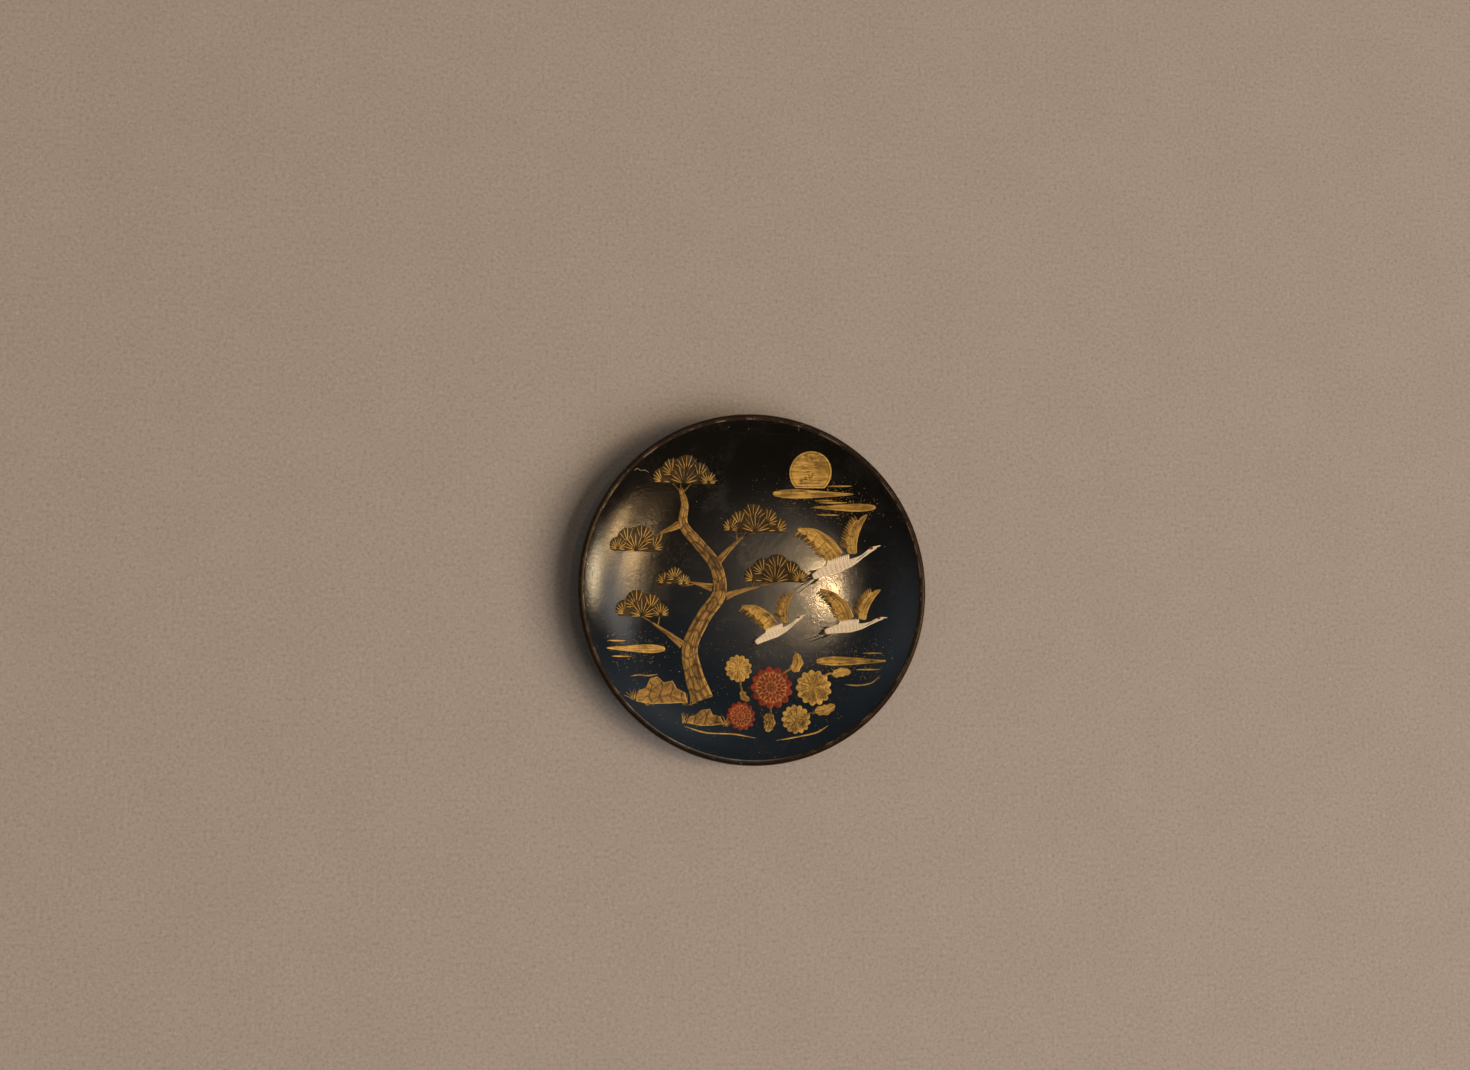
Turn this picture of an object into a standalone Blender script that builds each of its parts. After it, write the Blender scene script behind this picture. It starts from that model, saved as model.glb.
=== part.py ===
"""A lacquered dish with a raised picture, built up in layers as such ware is.

A turned wooden core with a beaded rim carries everything. A foot ring is let into a groove under it, hemp
cloth covers the rim and the base, a clay ground and a lacquer skin cover the face and the back, and a lacquer
lip closes the edges. The picture is a pine, cranes, chrysanthemums, mist and a sun in raised gold, brown and
red lacquer, with the cranes' bodies in white shell that sits in pockets cut through the face lacquer.

Metres, +Z up. The foot stands on z = 0, the dish turns about Z, and the top of the picture is towards +Y.
"""

import math

import bmesh
import bpy
import numpy as np

# Whole dish
DIAMETER = 0.303
HEIGHT = 0.035
LIP_INNER_ANGLE = math.radians(150)
LIP_UNDER_ANGLE = math.radians(-120)
# The face rises as a parabola for this share of its depth, and a sixth power turns up the wall for the rest
BOWL_SHARE = 0.55
WALL_POWER = 6

# Wood of the core: at the centre, above the foot's groove, and in the bead round the rim
CORE_AT_CENTRE = 0.0041
CORE_OVER_FOOT = 0.0045
BEAD_RADIUS = 0.0015

# Foot ring
FOOT_DIAMETER = 0.164
FOOT_WIDTH = 0.005
FOOT_FLARE = 0.001
FOOT_EASE = 0.0008
FOOT_RECESS = 0.006
FOOT_SEAT = 0.0015

# Layers, and the gap between pieces that touch
LACQUER = 0.0004
GROUND = 0.0005
CLOTH = 0.0004
BOND = 0.0003

# Picture: the bare border round it, the height of its raised pieces, and the fit of its shell in the face
PICTURE_MARGIN = 0.010
GOLD_RELIEF = 0.0006
RED_RELIEF = 0.0006
BROWN_RELIEF = 0.0008
SHELL_PROUD = 0.0005
SHELL_FIT = 0.0003

# The tables below lay out the picture in units of its own radius, x to the right and y up

# Kinds of pad of pine needles, as the round fans that it is made of: x, y and radius from the pad's middle
NEEDLE_FANS = {
    "broad": (
        (-0.140, -0.010, 0.060),
        (-0.075, 0.038, 0.068),
        (0.015, 0.056, 0.078),
        (0.100, 0.022, 0.068),
        (0.160, -0.014, 0.050),
        (0.000, -0.010, 0.085),
    ),
    "full": (
        (-0.110, -0.004, 0.060),
        (-0.035, 0.046, 0.072),
        (0.055, 0.030, 0.068),
        (0.120, -0.012, 0.052),
        (0.000, -0.010, 0.078),
    ),
    "small": (
        (-0.055, 0.000, 0.048),
        (0.012, 0.026, 0.054),
        (0.068, -0.006, 0.042),
    ),
}
NEEDLE_UNDERSIDE = 0.048
# Pads of needles: x, y, kind, and 1 or -1 for the way it faces
PINE_PADS = (
    (-0.70, -0.13, "full", 1),
    (0.16, 0.10, "broad", 1),
    (0.03, 0.42, "broad", -1),
    (-0.74, 0.28, "full", -1),
    (-0.44, 0.715, "broad", 1),
    (-0.50, 0.06, "small", 1),
)
PINE_TRUNK = (
    (-0.315, -0.70),
    (-0.37, -0.53),
    (-0.39, -0.36),
    (-0.30, -0.17),
    (-0.20, -0.02),
    (-0.225, 0.15),
    (-0.335, 0.29),
    (-0.435, 0.41),
    (-0.43, 0.54),
    (-0.46, 0.64),
)
PINE_TRUNK_WIDTHS = (0.072, 0.058, 0.050, 0.047, 0.044, 0.040, 0.036, 0.031, 0.024, 0.014)
# Branches, each from the trunk to the pad that it carries
PINE_BRANCHES = (
    ((-0.452, -0.345), (-0.53, -0.285), (-0.64, -0.212)),
    ((-0.150, -0.035), (-0.075, -0.010), (0.055, 0.026)),
    ((-0.200, 0.196), (-0.135, 0.262), (-0.05, 0.345)),
    ((-0.474, 0.405), (-0.53, 0.378), (-0.588, 0.352)),
    ((-0.257, 0.016), (-0.315, 0.030), (-0.372, 0.044)),
)
BRANCH_WIDTHS = (0.022, 0.015, 0.010)

# Mist: middle x, y, half length, half width, and 1 or -1 for a tail to the right or the left
MIST_BANDS = (
    (0.40, 0.62, 0.26, 0.030, 1),
    (0.60, 0.535, 0.20, 0.026, -1),
    (-0.74, -0.38, 0.19, 0.028, -1),
    (0.64, -0.45, 0.22, 0.030, 1),
)
MIST_WIDTHS = (0.45, 0.85, 1.0, 0.95, 0.82, 0.66, 0.50, 0.34, 0.16)
SUN = (0.38, 0.755, 0.135)
SUN_ABOVE_MIST = 0.008

# Cranes: x, y, size, turn
CRANES = (
    (0.56, 0.15, 0.27, math.radians(16)),
    (0.62, -0.24, 0.23, math.radians(4)),
    (0.15, -0.28, 0.21, math.radians(20)),
)
CRANE_BODY = (
    (-0.62, -0.06),
    (-0.30, 0.00),
    (0.08, 0.02),
    (0.38, 0.03),
    (0.66, 0.10),
    (0.92, 0.20),
    (1.14, 0.22),
)
CRANE_BODY_WIDTHS = (0.07, 0.12, 0.14, 0.085, 0.040, 0.050, 0.014)
CRANE_WINGS = (
    ("near_wing", ((-0.66, 1.14), (-0.32, 0.92), (-0.07, 0.59), (0.06, 0.225)), (0.03, 0.13, 0.18, 0.19)),
    ("far_wing", ((1.02, 1.02), (0.74, 0.82), (0.54, 0.54), (0.455, 0.205)), (0.02, 0.10, 0.12, 0.09)),
)
WING_SCALLOPS = 5
WING_SCALLOP_DEPTH = 0.45

# Chrysanthemums: x, y, radius, and whether the flower is red
FLOWERS = (
    (0.13, -0.62, 0.125, True),
    (0.40, -0.62, 0.105, False),
    (-0.08, -0.50, 0.080, False),
    (0.28, -0.82, 0.085, False),
    (-0.07, -0.80, 0.085, True),
)
PETALS = 13
PETAL_NOTCH = 0.18
# Leaves: from the stem end to the tip, and half width
LEAVES = (
    ((0.27, -0.52), (0.30, -0.46), (0.29, -0.40), 0.040),
    ((0.52, -0.54), (0.58, -0.52), (0.64, -0.52), 0.032),
    ((0.10, -0.78), (0.11, -0.84), (0.09, -0.90), 0.040),
    ((0.40, -0.77), (0.47, -0.76), (0.53, -0.73), 0.036),
    ((-0.06, -0.64), (-0.05, -0.68), (-0.01, -0.70), 0.024),
)
LEAF_WIDTHS = (0.15, 0.85, 0.75, 1.0, 0.70, 0.70, 0.15)

# Rocks at the foot of the pine: x and y of the middle, and corners from there
ROCKS = (
    (
        (-0.575, -0.665),
        (
            (0.165, -0.052),
            (0.150, 0.012),
            (0.098, 0.034),
            (0.070, 0.086),
            (0.012, 0.074),
            (-0.030, 0.112),
            (-0.076, 0.098),
            (-0.104, 0.040),
            (-0.150, 0.022),
            (-0.172, -0.046),
            (-0.060, -0.062),
            (0.060, -0.058),
        ),
    ),
    (
        (-0.30, -0.815),
        (
            (0.118, -0.036),
            (0.096, 0.012),
            (0.050, 0.022),
            (0.030, 0.060),
            (-0.026, 0.052),
            (-0.058, 0.024),
            (-0.104, 0.010),
            (-0.122, -0.030),
            (-0.030, -0.048),
            (0.040, -0.046),
        ),
    ),
)

# Facets of the turned pieces, and points along the picture's pieces
SIDES = 40
FACE_RINGS = 7
FACE_RING_CROWDING = 1.5
BACK_RINGS = 4
LIP_STEPS = 9
CLOTH_STEPS = 5
BEAD_STEPS = 5
TRUNK_STATIONS = 18
BRANCH_STATIONS = 5
MIST_STATIONS = 12
BODY_STATIONS = 14
STATIONS_A_SCALLOP = 2
LEAF_STATIONS = 9
SUN_STEPS = 28
NEEDLE_STEPS = 32
PETAL_STEPS = 2
PAD_RING_SHARE = 0.55
WELD_DISTANCE = 0.000001
SHARP_ANGLE = math.radians(35)

# Sizes that follow from those above
RADIUS = DIAMETER / 2
CLOTH_RADIUS = BEAD_RADIUS + BOND + CLOTH
LIP_RADIUS = CLOTH_RADIUS + BOND + LACQUER
LIP_R = RADIUS - LIP_RADIUS
LIP_Z = HEIGHT - LIP_RADIUS
SKIN_STACK = LACQUER + BOND + GROUND + BOND
WALL_AT_FOOT = SKIN_STACK + CORE_OVER_FOOT + FOOT_SEAT + SKIN_STACK
CORE_UNDER = FOOT_RECESS + LACQUER + BOND + CLOTH + BOND
WELL_Z = CORE_UNDER + CORE_AT_CENTRE + SKIN_STACK
WING_STATIONS = WING_SCALLOPS * STATIONS_A_SCALLOP + 1


def on_lip(radius, angle):
    """The (radius, height) point at an angle on a circle about the lip's centre."""
    return (LIP_R + radius * math.cos(angle), LIP_Z + radius * math.sin(angle))


FACE_EDGE_R, FACE_EDGE_Z = on_lip(LIP_RADIUS, LIP_INNER_ANGLE)
BACK_EDGE_R, BACK_EDGE_Z = on_lip(LIP_RADIUS, LIP_UNDER_ANGLE)
FACE_SKIN_R = FACE_EDGE_R - BOND
BACK_SKIN_R = BACK_EDGE_R - BOND
FOOT_OUT_R = FOOT_DIAMETER / 2
FOOT_IN_R = FOOT_OUT_R - FOOT_WIDTH
FOOT_TOP_OUT_R = FOOT_OUT_R + FOOT_FLARE
FOOT_TOP_IN_R = FOOT_IN_R - FOOT_FLARE
GROOVE_OUT_R = FOOT_TOP_OUT_R + BOND
GROOVE_IN_R = FOOT_TOP_IN_R - BOND
PICTURE_RADIUS = FACE_EDGE_R - PICTURE_MARGIN


def face_height(radius):
    """Height of the lacquered face at a radius."""
    share = np.asarray(radius) / FACE_EDGE_R
    rise = BOWL_SHARE * share**2 + (1 - BOWL_SHARE) * share**WALL_POWER
    return WELL_Z + (FACE_EDGE_Z - WELL_Z) * rise


def back_height(radius):
    """Height of the lacquered back at a radius: the face less a wall that thins from the foot to the lip."""
    wall_at_lip = face_height(BACK_EDGE_R) - BACK_EDGE_Z
    share = (np.asarray(radius) - FOOT_OUT_R) / (BACK_EDGE_R - FOOT_OUT_R)
    return face_height(radius) - WALL_AT_FOOT - (wall_at_lip - WALL_AT_FOOT) * share


# Radii shared by every layer of a side, so that the layers' facets stay parallel
FACE_RADII = FACE_SKIN_R * (1 - (1 - np.linspace(0, 1, FACE_RINGS + 1)) ** FACE_RING_CROWDING)
BACK_RADII = np.linspace(GROOVE_OUT_R, BACK_SKIN_R, BACK_RINGS + 1)
GROOVE_Z = float(back_height(GROOVE_OUT_R)) + SKIN_STACK + FOOT_SEAT


def start_empty():
    """Remove whatever the file opened with."""
    for obj in list(bpy.data.objects):
        bpy.data.objects.remove(obj)


def finish(name, colour, roughness, metallic=0.0):
    """A plain Principled material."""
    material = bpy.data.materials.new(name)
    material.use_nodes = True
    shader = material.node_tree.nodes["Principled BSDF"]
    shader.inputs["Base Color"].default_value = (*colour, 1.0)
    shader.inputs["Roughness"].default_value = roughness
    shader.inputs["Metallic"].default_value = metallic
    return material


def add_object(name, mesh, material):
    """Link a mesh as a named object with its material."""
    if material:
        mesh.materials.append(material)
    obj = bpy.data.objects.new(name, mesh)
    bpy.context.scene.collection.objects.link(obj)
    return obj


def turned(name, outline, material):
    """A piece turned about Z from (radius, height) points that start and end on the axis, or close a ring."""
    bm = bmesh.new()
    corners = [bm.verts.new((radius, 0.0, height)) for radius, height in outline]
    followers = corners[1:] if outline[0][0] == 0 else corners[1:] + corners[:1]
    edges = [bm.edges.new(pair) for pair in zip(corners, followers)]
    bmesh.ops.spin(
        bm, geom=corners + edges, cent=(0, 0, 0), axis=(0, 0, 1), angle=math.tau, steps=SIDES, use_merge=True
    )
    bmesh.ops.remove_doubles(bm, verts=bm.verts, dist=WELD_DISTANCE)
    bmesh.ops.recalc_face_normals(bm, faces=bm.faces)
    mesh = bpy.data.meshes.new(name)
    bm.to_mesh(mesh)
    bm.free()
    mesh.shade_smooth()
    mesh.set_sharp_from_angle(angle=SHARP_ANGLE)
    return add_object(name, mesh, material)


def layer(radii, height, above, below):
    """Outline of a layer that follows a height function, between two offsets down from it."""
    top = [(float(r), float(height(r)) - above) for r in radii]
    bottom = [(float(r), float(height(r)) - below) for r in reversed(radii)]
    return top + bottom


def lip_arc(radius, steps):
    """Points round the lip from its inner end, over the top and down the outside, to its end underneath."""
    return [on_lip(radius, angle) for angle in np.linspace(LIP_INNER_ANGLE, LIP_UNDER_ANGLE, steps + 1)]


def wood_core(wood):
    """The turned dish: hollow face, beaded rim, sloping back, groove for the foot and flat base."""
    face = [(float(r), float(face_height(r)) - SKIN_STACK) for r in FACE_RADII]
    back = [(float(r), float(back_height(r)) + SKIN_STACK) for r in reversed(BACK_RADII)]
    groove = [(GROOVE_OUT_R, GROOVE_Z), (GROOVE_IN_R, GROOVE_Z)]
    base = [(GROOVE_IN_R, CORE_UNDER), (0.0, CORE_UNDER)]
    turned("wood_core", face + lip_arc(BEAD_RADIUS, BEAD_STEPS) + back + groove + base, wood)


def foot_ring(lacquered_wood):
    """The foot: a flared ring whose top is let into the core's groove."""
    top = GROOVE_Z - BOND
    outside = [(FOOT_TOP_OUT_R, top), (FOOT_OUT_R, FOOT_EASE)]
    floor = [(FOOT_OUT_R - FOOT_EASE, 0.0), (FOOT_IN_R + FOOT_EASE, 0.0)]
    inside = [(FOOT_IN_R, FOOT_EASE), (FOOT_TOP_IN_R, top)]
    turned("foot_ring", outside + floor + inside, lacquered_wood)


def rim_layers(hemp, lip_lacquer):
    """The hemp over the core's bead and the lacquer lip over the hemp."""
    cloth = lip_arc(CLOTH_RADIUS, CLOTH_STEPS) + lip_arc(CLOTH_RADIUS - CLOTH, CLOTH_STEPS)[::-1]
    turned("rim_cloth", cloth, hemp)
    lip = lip_arc(LIP_RADIUS, LIP_STEPS) + lip_arc(LIP_RADIUS - LACQUER, LIP_STEPS)[::-1]
    turned("lip_lacquer", lip, lip_lacquer)


def face_layers(clay, black_lacquer):
    """The ground and the lacquer of the hollow side; the lacquer is returned, to take the pockets."""
    turned("face_ground", layer(FACE_RADII, face_height, LACQUER + BOND, SKIN_STACK - BOND), clay)
    return turned("face_lacquer", layer(FACE_RADII, face_height, 0.0, LACQUER), black_lacquer)


def back_layers(clay, back_lacquer):
    """The ground and the lacquer of the back, from the foot to the lip."""
    turned("back_ground", layer(BACK_RADII, back_height, BOND - SKIN_STACK, -LACQUER - BOND), clay)
    turned("back_lacquer", layer(BACK_RADII, back_height, -LACQUER, 0.0), back_lacquer)


def base_layers(hemp, back_lacquer):
    """The hemp disc and the lacquer disc under the base, inside the foot."""

    def disc(name, top, thickness, material):
        rim = [(GROOVE_IN_R, top), (GROOVE_IN_R, top - thickness)]
        turned(name, [(0.0, top)] + rim + [(0.0, top - thickness)], material)

    disc("base_cloth", CORE_UNDER - BOND, CLOTH, hemp)
    disc("base_lacquer", FOOT_RECESS + LACQUER, LACQUER, back_lacquer)


def facet_height(points):
    """Height of the faceted face under picture points in metres; along a facet it depends on one distance."""
    half_side = math.pi / SIDES
    angle = np.arctan2(points[:, 1], points[:, 0])
    from_middle = np.mod(angle, 2 * half_side) - half_side
    reach = np.hypot(points[:, 0], points[:, 1]) * np.cos(from_middle) / math.cos(half_side)
    return np.interp(reach, FACE_RADII, face_height(FACE_RADII))


def smooth_path(points, count):
    """Points at even steps along a Catmull-Rom curve through hand-set points."""
    through = np.asarray(points, float)
    through = np.vstack([2 * through[0] - through[1], through, 2 * through[-1] - through[-2]])
    spans = len(through) - 3
    place = np.linspace(0, spans, count)
    span = np.minimum(place.astype(int), spans - 1)
    u = (place - span)[:, None]
    before, start, end, after = (through[span + k] for k in range(4))
    slope = end - before
    bend = 2 * before - 5 * start + 4 * end - after
    twist = 3 * start - before - 3 * end + after
    return start + 0.5 * (slope * u + bend * u**2 + twist * u**3)


def strip_sheet(path, half_widths, stations, scallops=0, scallop_depth=0.0, grow=0.0):
    """A sheet of three rows along a path, in metres; its right edge may be scalloped, and it may be grown."""
    middle = smooth_path(path, stations) * PICTURE_RADIUS
    along = np.linspace(0, 1, stations)
    width = np.interp(along, np.linspace(0, 1, len(half_widths)), half_widths) * PICTURE_RADIUS
    forward = np.gradient(middle, axis=0)
    forward /= np.linalg.norm(forward, axis=1)[:, None]
    left = np.stack([-forward[:, 1], forward[:, 0]], axis=1)
    middle[0] -= grow * forward[0]
    middle[-1] += grow * forward[-1]
    scallop = 1 + scallop_depth * np.abs(np.sin(math.pi * scallops * along))
    left_row = middle + left * (width + grow)[:, None]
    right_row = middle - left * (width * scallop + grow)[:, None]
    points = np.stack([right_row, middle, left_row], axis=1).reshape(-1, 2)
    faces = []
    for station in range(stations - 1):
        for row in range(2):
            corner = 3 * station + row
            faces.append((corner, corner + 3, corner + 4, corner + 1))
    return points, faces


def pad_sheet(centre, outline):
    """A sheet of two rings and a middle point inside an outline of offsets from a centre, in metres."""
    outline = np.asarray(outline) * PICTURE_RADIUS
    middle = np.asarray(centre) * PICTURE_RADIUS
    count = len(outline)
    points = np.vstack([middle[None], middle + PAD_RING_SHARE * outline, middle + outline])
    faces = []
    for step in range(count):
        after = (step + 1) % count
        faces.append((0, 1 + step, 1 + after))
        faces.append((1 + step, 1 + count + step, 1 + count + after, 1 + after))
    return points, faces


def raised(name, sheet, lift, thickness, material):
    """A piece of even height over a sheet that is laid on the face and lifted off it, with upright sides."""
    points, faces = sheet
    bm = bmesh.new()
    corners = [bm.verts.new(point) for point in np.column_stack([points, facet_height(points) + lift])]
    sheet_faces = [bm.faces.new([corners[index] for index in face]) for face in faces]
    extruded = bmesh.ops.extrude_face_region(bm, geom=sheet_faces)["geom"]
    top = [item for item in extruded if isinstance(item, bmesh.types.BMVert)]
    bmesh.ops.translate(bm, verts=top, vec=(0.0, 0.0, thickness))
    bmesh.ops.recalc_face_normals(bm, faces=bm.faces)
    mesh = bpy.data.meshes.new(name)
    bm.to_mesh(mesh)
    bm.free()
    return add_object(name, mesh, material)


def round_offsets(reach):
    """Offsets at even angles, each at its own reach."""
    angle = np.arange(len(reach)) * math.tau / len(reach)
    return np.stack([reach * np.cos(angle), reach * np.sin(angle)], axis=1)


def needle_outline(fans, facing):
    """Offsets round a group of fans: as far as the farthest fan reaches, cut off level underneath."""
    angle = np.arange(NEEDLE_STEPS)[:, None] * math.tau / NEEDLE_STEPS
    x, y, radius = np.array(fans).T
    ahead = facing * x * np.cos(angle) + y * np.sin(angle)
    aside = facing * x * np.sin(angle) - y * np.cos(angle)
    met = np.abs(aside) < radius
    reach = np.where(met, ahead + np.sqrt(np.maximum(radius**2 - aside**2, 0)), 0).max(axis=1)
    fall = np.maximum(-reach * np.sin(angle[:, 0]), NEEDLE_UNDERSIDE)
    return round_offsets(reach * NEEDLE_UNDERSIDE / fall)


def flower_outline(radius):
    """Offsets of a flower: a circle that swells at every petal."""
    angle = np.arange(PETALS * PETAL_STEPS) * math.tau / (PETALS * PETAL_STEPS)
    return round_offsets(radius * (1 + PETAL_NOTCH * (np.abs(np.sin(PETALS * angle / 2)) - 0.5)))


def sun_outline(radius, cut):
    """Offsets of a disc that is cut off level at a distance below its centre."""
    angle = np.arange(SUN_STEPS) * math.tau / SUN_STEPS
    fall = np.maximum(-radius * np.sin(angle), cut)
    return round_offsets(radius * cut / fall)


def pine(gold, brown):
    """The tree: a trunk, branches and pads of needles, a bond's gap apart."""
    trunk = strip_sheet(PINE_TRUNK, PINE_TRUNK_WIDTHS, TRUNK_STATIONS)
    raised("pine_trunk", trunk, BOND, BROWN_RELIEF, brown)
    for number, path in enumerate(PINE_BRANCHES, 1):
        sheet = strip_sheet(path, BRANCH_WIDTHS, BRANCH_STATIONS)
        raised(f"pine_branch_{number}", sheet, BOND, BROWN_RELIEF, brown)
    for number, (x, y, kind, facing) in enumerate(PINE_PADS, 1):
        outline = needle_outline(NEEDLE_FANS[kind], facing)
        raised(f"pine_needles_{number}", pad_sheet((x, y), outline), BOND, GOLD_RELIEF, gold)


def sky(gold):
    """Bands of mist, and a sun that sets behind the first of them."""
    for number, (x, y, half_length, half_width, facing) in enumerate(MIST_BANDS, 1):
        path = ((x - facing * half_length, y), (x, y), (x + facing * half_length, y))
        widths = [share * half_width for share in MIST_WIDTHS]
        raised(f"mist_band_{number}", strip_sheet(path, widths, MIST_STATIONS), BOND, GOLD_RELIEF, gold)
    x, y, radius = SUN
    cut = y - MIST_BANDS[0][1] - MIST_BANDS[0][3] - SUN_ABOVE_MIST
    raised("sun_disc", pad_sheet((x, y), sun_outline(radius, cut)), BOND, GOLD_RELIEF, gold)


def cranes(shell, gold, face):
    """Birds with raised gold wings and a shell body, which sits in a pocket of its own through the face lacquer."""
    for number, (x, y, size, turn) in enumerate(CRANES, 1):

        def shape(path, widths):
            across, up = np.asarray(path).T * size
            turned_x = across * math.cos(turn) - up * math.sin(turn)
            turned_y = across * math.sin(turn) + up * math.cos(turn)
            return np.stack([x + turned_x, y + turned_y], axis=1), [size * width for width in widths]

        name = f"crane_{number}_body"
        body = (*shape(CRANE_BODY, CRANE_BODY_WIDTHS), BODY_STATIONS)
        raised(name, strip_sheet(*body), -LACQUER, LACQUER + SHELL_PROUD, shell)
        cutter = raised(f"{name}_pocket", strip_sheet(*body, grow=SHELL_FIT), -HEIGHT, 2 * HEIGHT, None)
        cutter.hide_render = True
        cutter.display_type = "WIRE"
        pocket = face.modifiers.new(cutter.name, "BOOLEAN")
        pocket.operation = "DIFFERENCE"
        pocket.object = cutter
        for part, path, widths in CRANE_WINGS:
            sheet = strip_sheet(*shape(path, widths), WING_STATIONS, WING_SCALLOPS, WING_SCALLOP_DEPTH)
            raised(f"crane_{number}_{part}", sheet, BOND, GOLD_RELIEF, gold)


def flowers(gold, red):
    """Chrysanthemums with their leaves."""
    for number, (x, y, radius, is_red) in enumerate(FLOWERS, 1):
        material = red if is_red else gold
        relief = RED_RELIEF if is_red else GOLD_RELIEF
        raised(f"flower_{number}", pad_sheet((x, y), flower_outline(radius)), BOND, relief, material)
    for number, (stem, middle, tip, half_width) in enumerate(LEAVES, 1):
        widths = [share * half_width for share in LEAF_WIDTHS]
        sheet = strip_sheet((stem, middle, tip), widths, LEAF_STATIONS)
        raised(f"leaf_{number}", sheet, BOND, GOLD_RELIEF, gold)


def rocks(brown):
    """Rocks at the foot of the tree."""
    for number, (middle, corners) in enumerate(ROCKS, 1):
        raised(f"rock_{number}", pad_sheet(middle, corners), BOND, BROWN_RELIEF, brown)


def main():
    """Make every piece."""
    start_empty()
    wood = finish("turned wood", (0.32, 0.20, 0.10), 0.7)
    hemp = finish("hemp cloth", (0.42, 0.36, 0.25), 0.9)
    clay = finish("clay ground", (0.16, 0.13, 0.11), 0.85)
    black_lacquer = finish("blue-black lacquer", (0.009, 0.010, 0.012), 0.16)
    lip_lacquer = finish("brown-black lacquer", (0.020, 0.010, 0.006), 0.3)
    back_lacquer = finish("black lacquer", (0.012, 0.009, 0.007), 0.25)
    gold = finish("gold lacquer", (0.40, 0.22, 0.045), 0.4, 0.6)
    brown = finish("brown gold lacquer", (0.22, 0.12, 0.03), 0.45, 0.5)
    red = finish("red lacquer", (0.30, 0.035, 0.018), 0.35)
    shell = finish("white shell", (0.72, 0.60, 0.42), 0.35)

    wood_core(wood)
    foot_ring(back_lacquer)
    rim_layers(hemp, lip_lacquer)
    face = face_layers(clay, black_lacquer)
    back_layers(clay, back_lacquer)
    base_layers(hemp, back_lacquer)
    pine(gold, brown)
    sky(gold)
    cranes(shell, gold, face)
    flowers(gold, red)
    rocks(brown)


main()
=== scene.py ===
"""Looks of a lacquered dish: its fine surfaces, finishes, stage, light and camera.

Laid out as an add-on and run as a script. Every length is in metres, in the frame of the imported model.
"""

import math
from functools import reduce

import bpy
import numpy as np
from bpy.props import FloatProperty, FloatVectorProperty, IntProperty, PointerProperty
from mathutils import Matrix, Vector


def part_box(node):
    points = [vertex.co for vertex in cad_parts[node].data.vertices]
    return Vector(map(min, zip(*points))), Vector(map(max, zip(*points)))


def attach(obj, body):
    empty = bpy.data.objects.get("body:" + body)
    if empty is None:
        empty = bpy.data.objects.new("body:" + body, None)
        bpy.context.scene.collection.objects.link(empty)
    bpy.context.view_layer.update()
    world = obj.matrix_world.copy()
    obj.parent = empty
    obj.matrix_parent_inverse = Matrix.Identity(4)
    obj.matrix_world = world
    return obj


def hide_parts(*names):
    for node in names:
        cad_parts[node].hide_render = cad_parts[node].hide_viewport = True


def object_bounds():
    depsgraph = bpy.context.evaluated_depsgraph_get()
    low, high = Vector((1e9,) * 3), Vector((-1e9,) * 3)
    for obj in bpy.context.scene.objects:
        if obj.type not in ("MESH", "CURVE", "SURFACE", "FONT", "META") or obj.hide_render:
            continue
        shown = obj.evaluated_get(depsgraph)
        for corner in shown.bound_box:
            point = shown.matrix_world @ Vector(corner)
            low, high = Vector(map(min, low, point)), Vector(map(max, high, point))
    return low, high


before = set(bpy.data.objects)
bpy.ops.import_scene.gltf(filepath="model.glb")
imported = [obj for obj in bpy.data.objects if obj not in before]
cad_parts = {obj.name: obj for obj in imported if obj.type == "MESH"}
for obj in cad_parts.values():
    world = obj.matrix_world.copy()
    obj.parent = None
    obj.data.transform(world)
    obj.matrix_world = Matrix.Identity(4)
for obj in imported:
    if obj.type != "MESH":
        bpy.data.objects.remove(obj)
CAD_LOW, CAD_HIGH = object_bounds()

bl_info = {
    "name": "Lacquered Dish",
    "version": (1, 0, 0),
    "blender": (4, 5, 0),
    "location": "View3D > Sidebar > Dish",
    "description": "Fine surfaces, finishes and stage for a lacquered dish with a raised picture",
    "category": "Add Mesh",
}

BODY = "root"

# The turned shape, as the solids have it
RADIUS = (CAD_HIGH.x - CAD_LOW.x) / 2
HEIGHT = CAD_HIGH.z
LIP_RADIUS = 0.0029
LIP_R = RADIUS - LIP_RADIUS
LIP_Z = HEIGHT - LIP_RADIUS
LIP_INNER_ANGLE = math.radians(150)
LIP_UNDER_ANGLE = math.radians(-120)
FACE_EDGE_R = LIP_R + LIP_RADIUS * math.cos(LIP_INNER_ANGLE)
FACE_EDGE_Z = LIP_Z + LIP_RADIUS * math.sin(LIP_INNER_ANGLE)
BACK_EDGE_R = LIP_R + LIP_RADIUS * math.cos(LIP_UNDER_ANGLE)
BACK_EDGE_Z = LIP_Z + LIP_RADIUS * math.sin(LIP_UNDER_ANGLE)
WELL_Z = 0.0130
FACE_RISE = FACE_EDGE_Z - WELL_Z
BOWL_SHARE = 0.55
WALL_POWER = 6
WALL_AT_FOOT = 0.0090
LACQUER = 0.0004
FOOT_OUT_R = 0.082
FOOT_IN_R = 0.077
FOOT_FLARE = 0.001
FOOT_EASE = 0.0009
FOOT_TOP_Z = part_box("foot_ring")[1].z
BASE_Z = 0.006
JOIN = 0.00005
PICTURE_MARGIN = 0.010
PICTURE_RADIUS = FACE_EDGE_R - PICTURE_MARGIN

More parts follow.
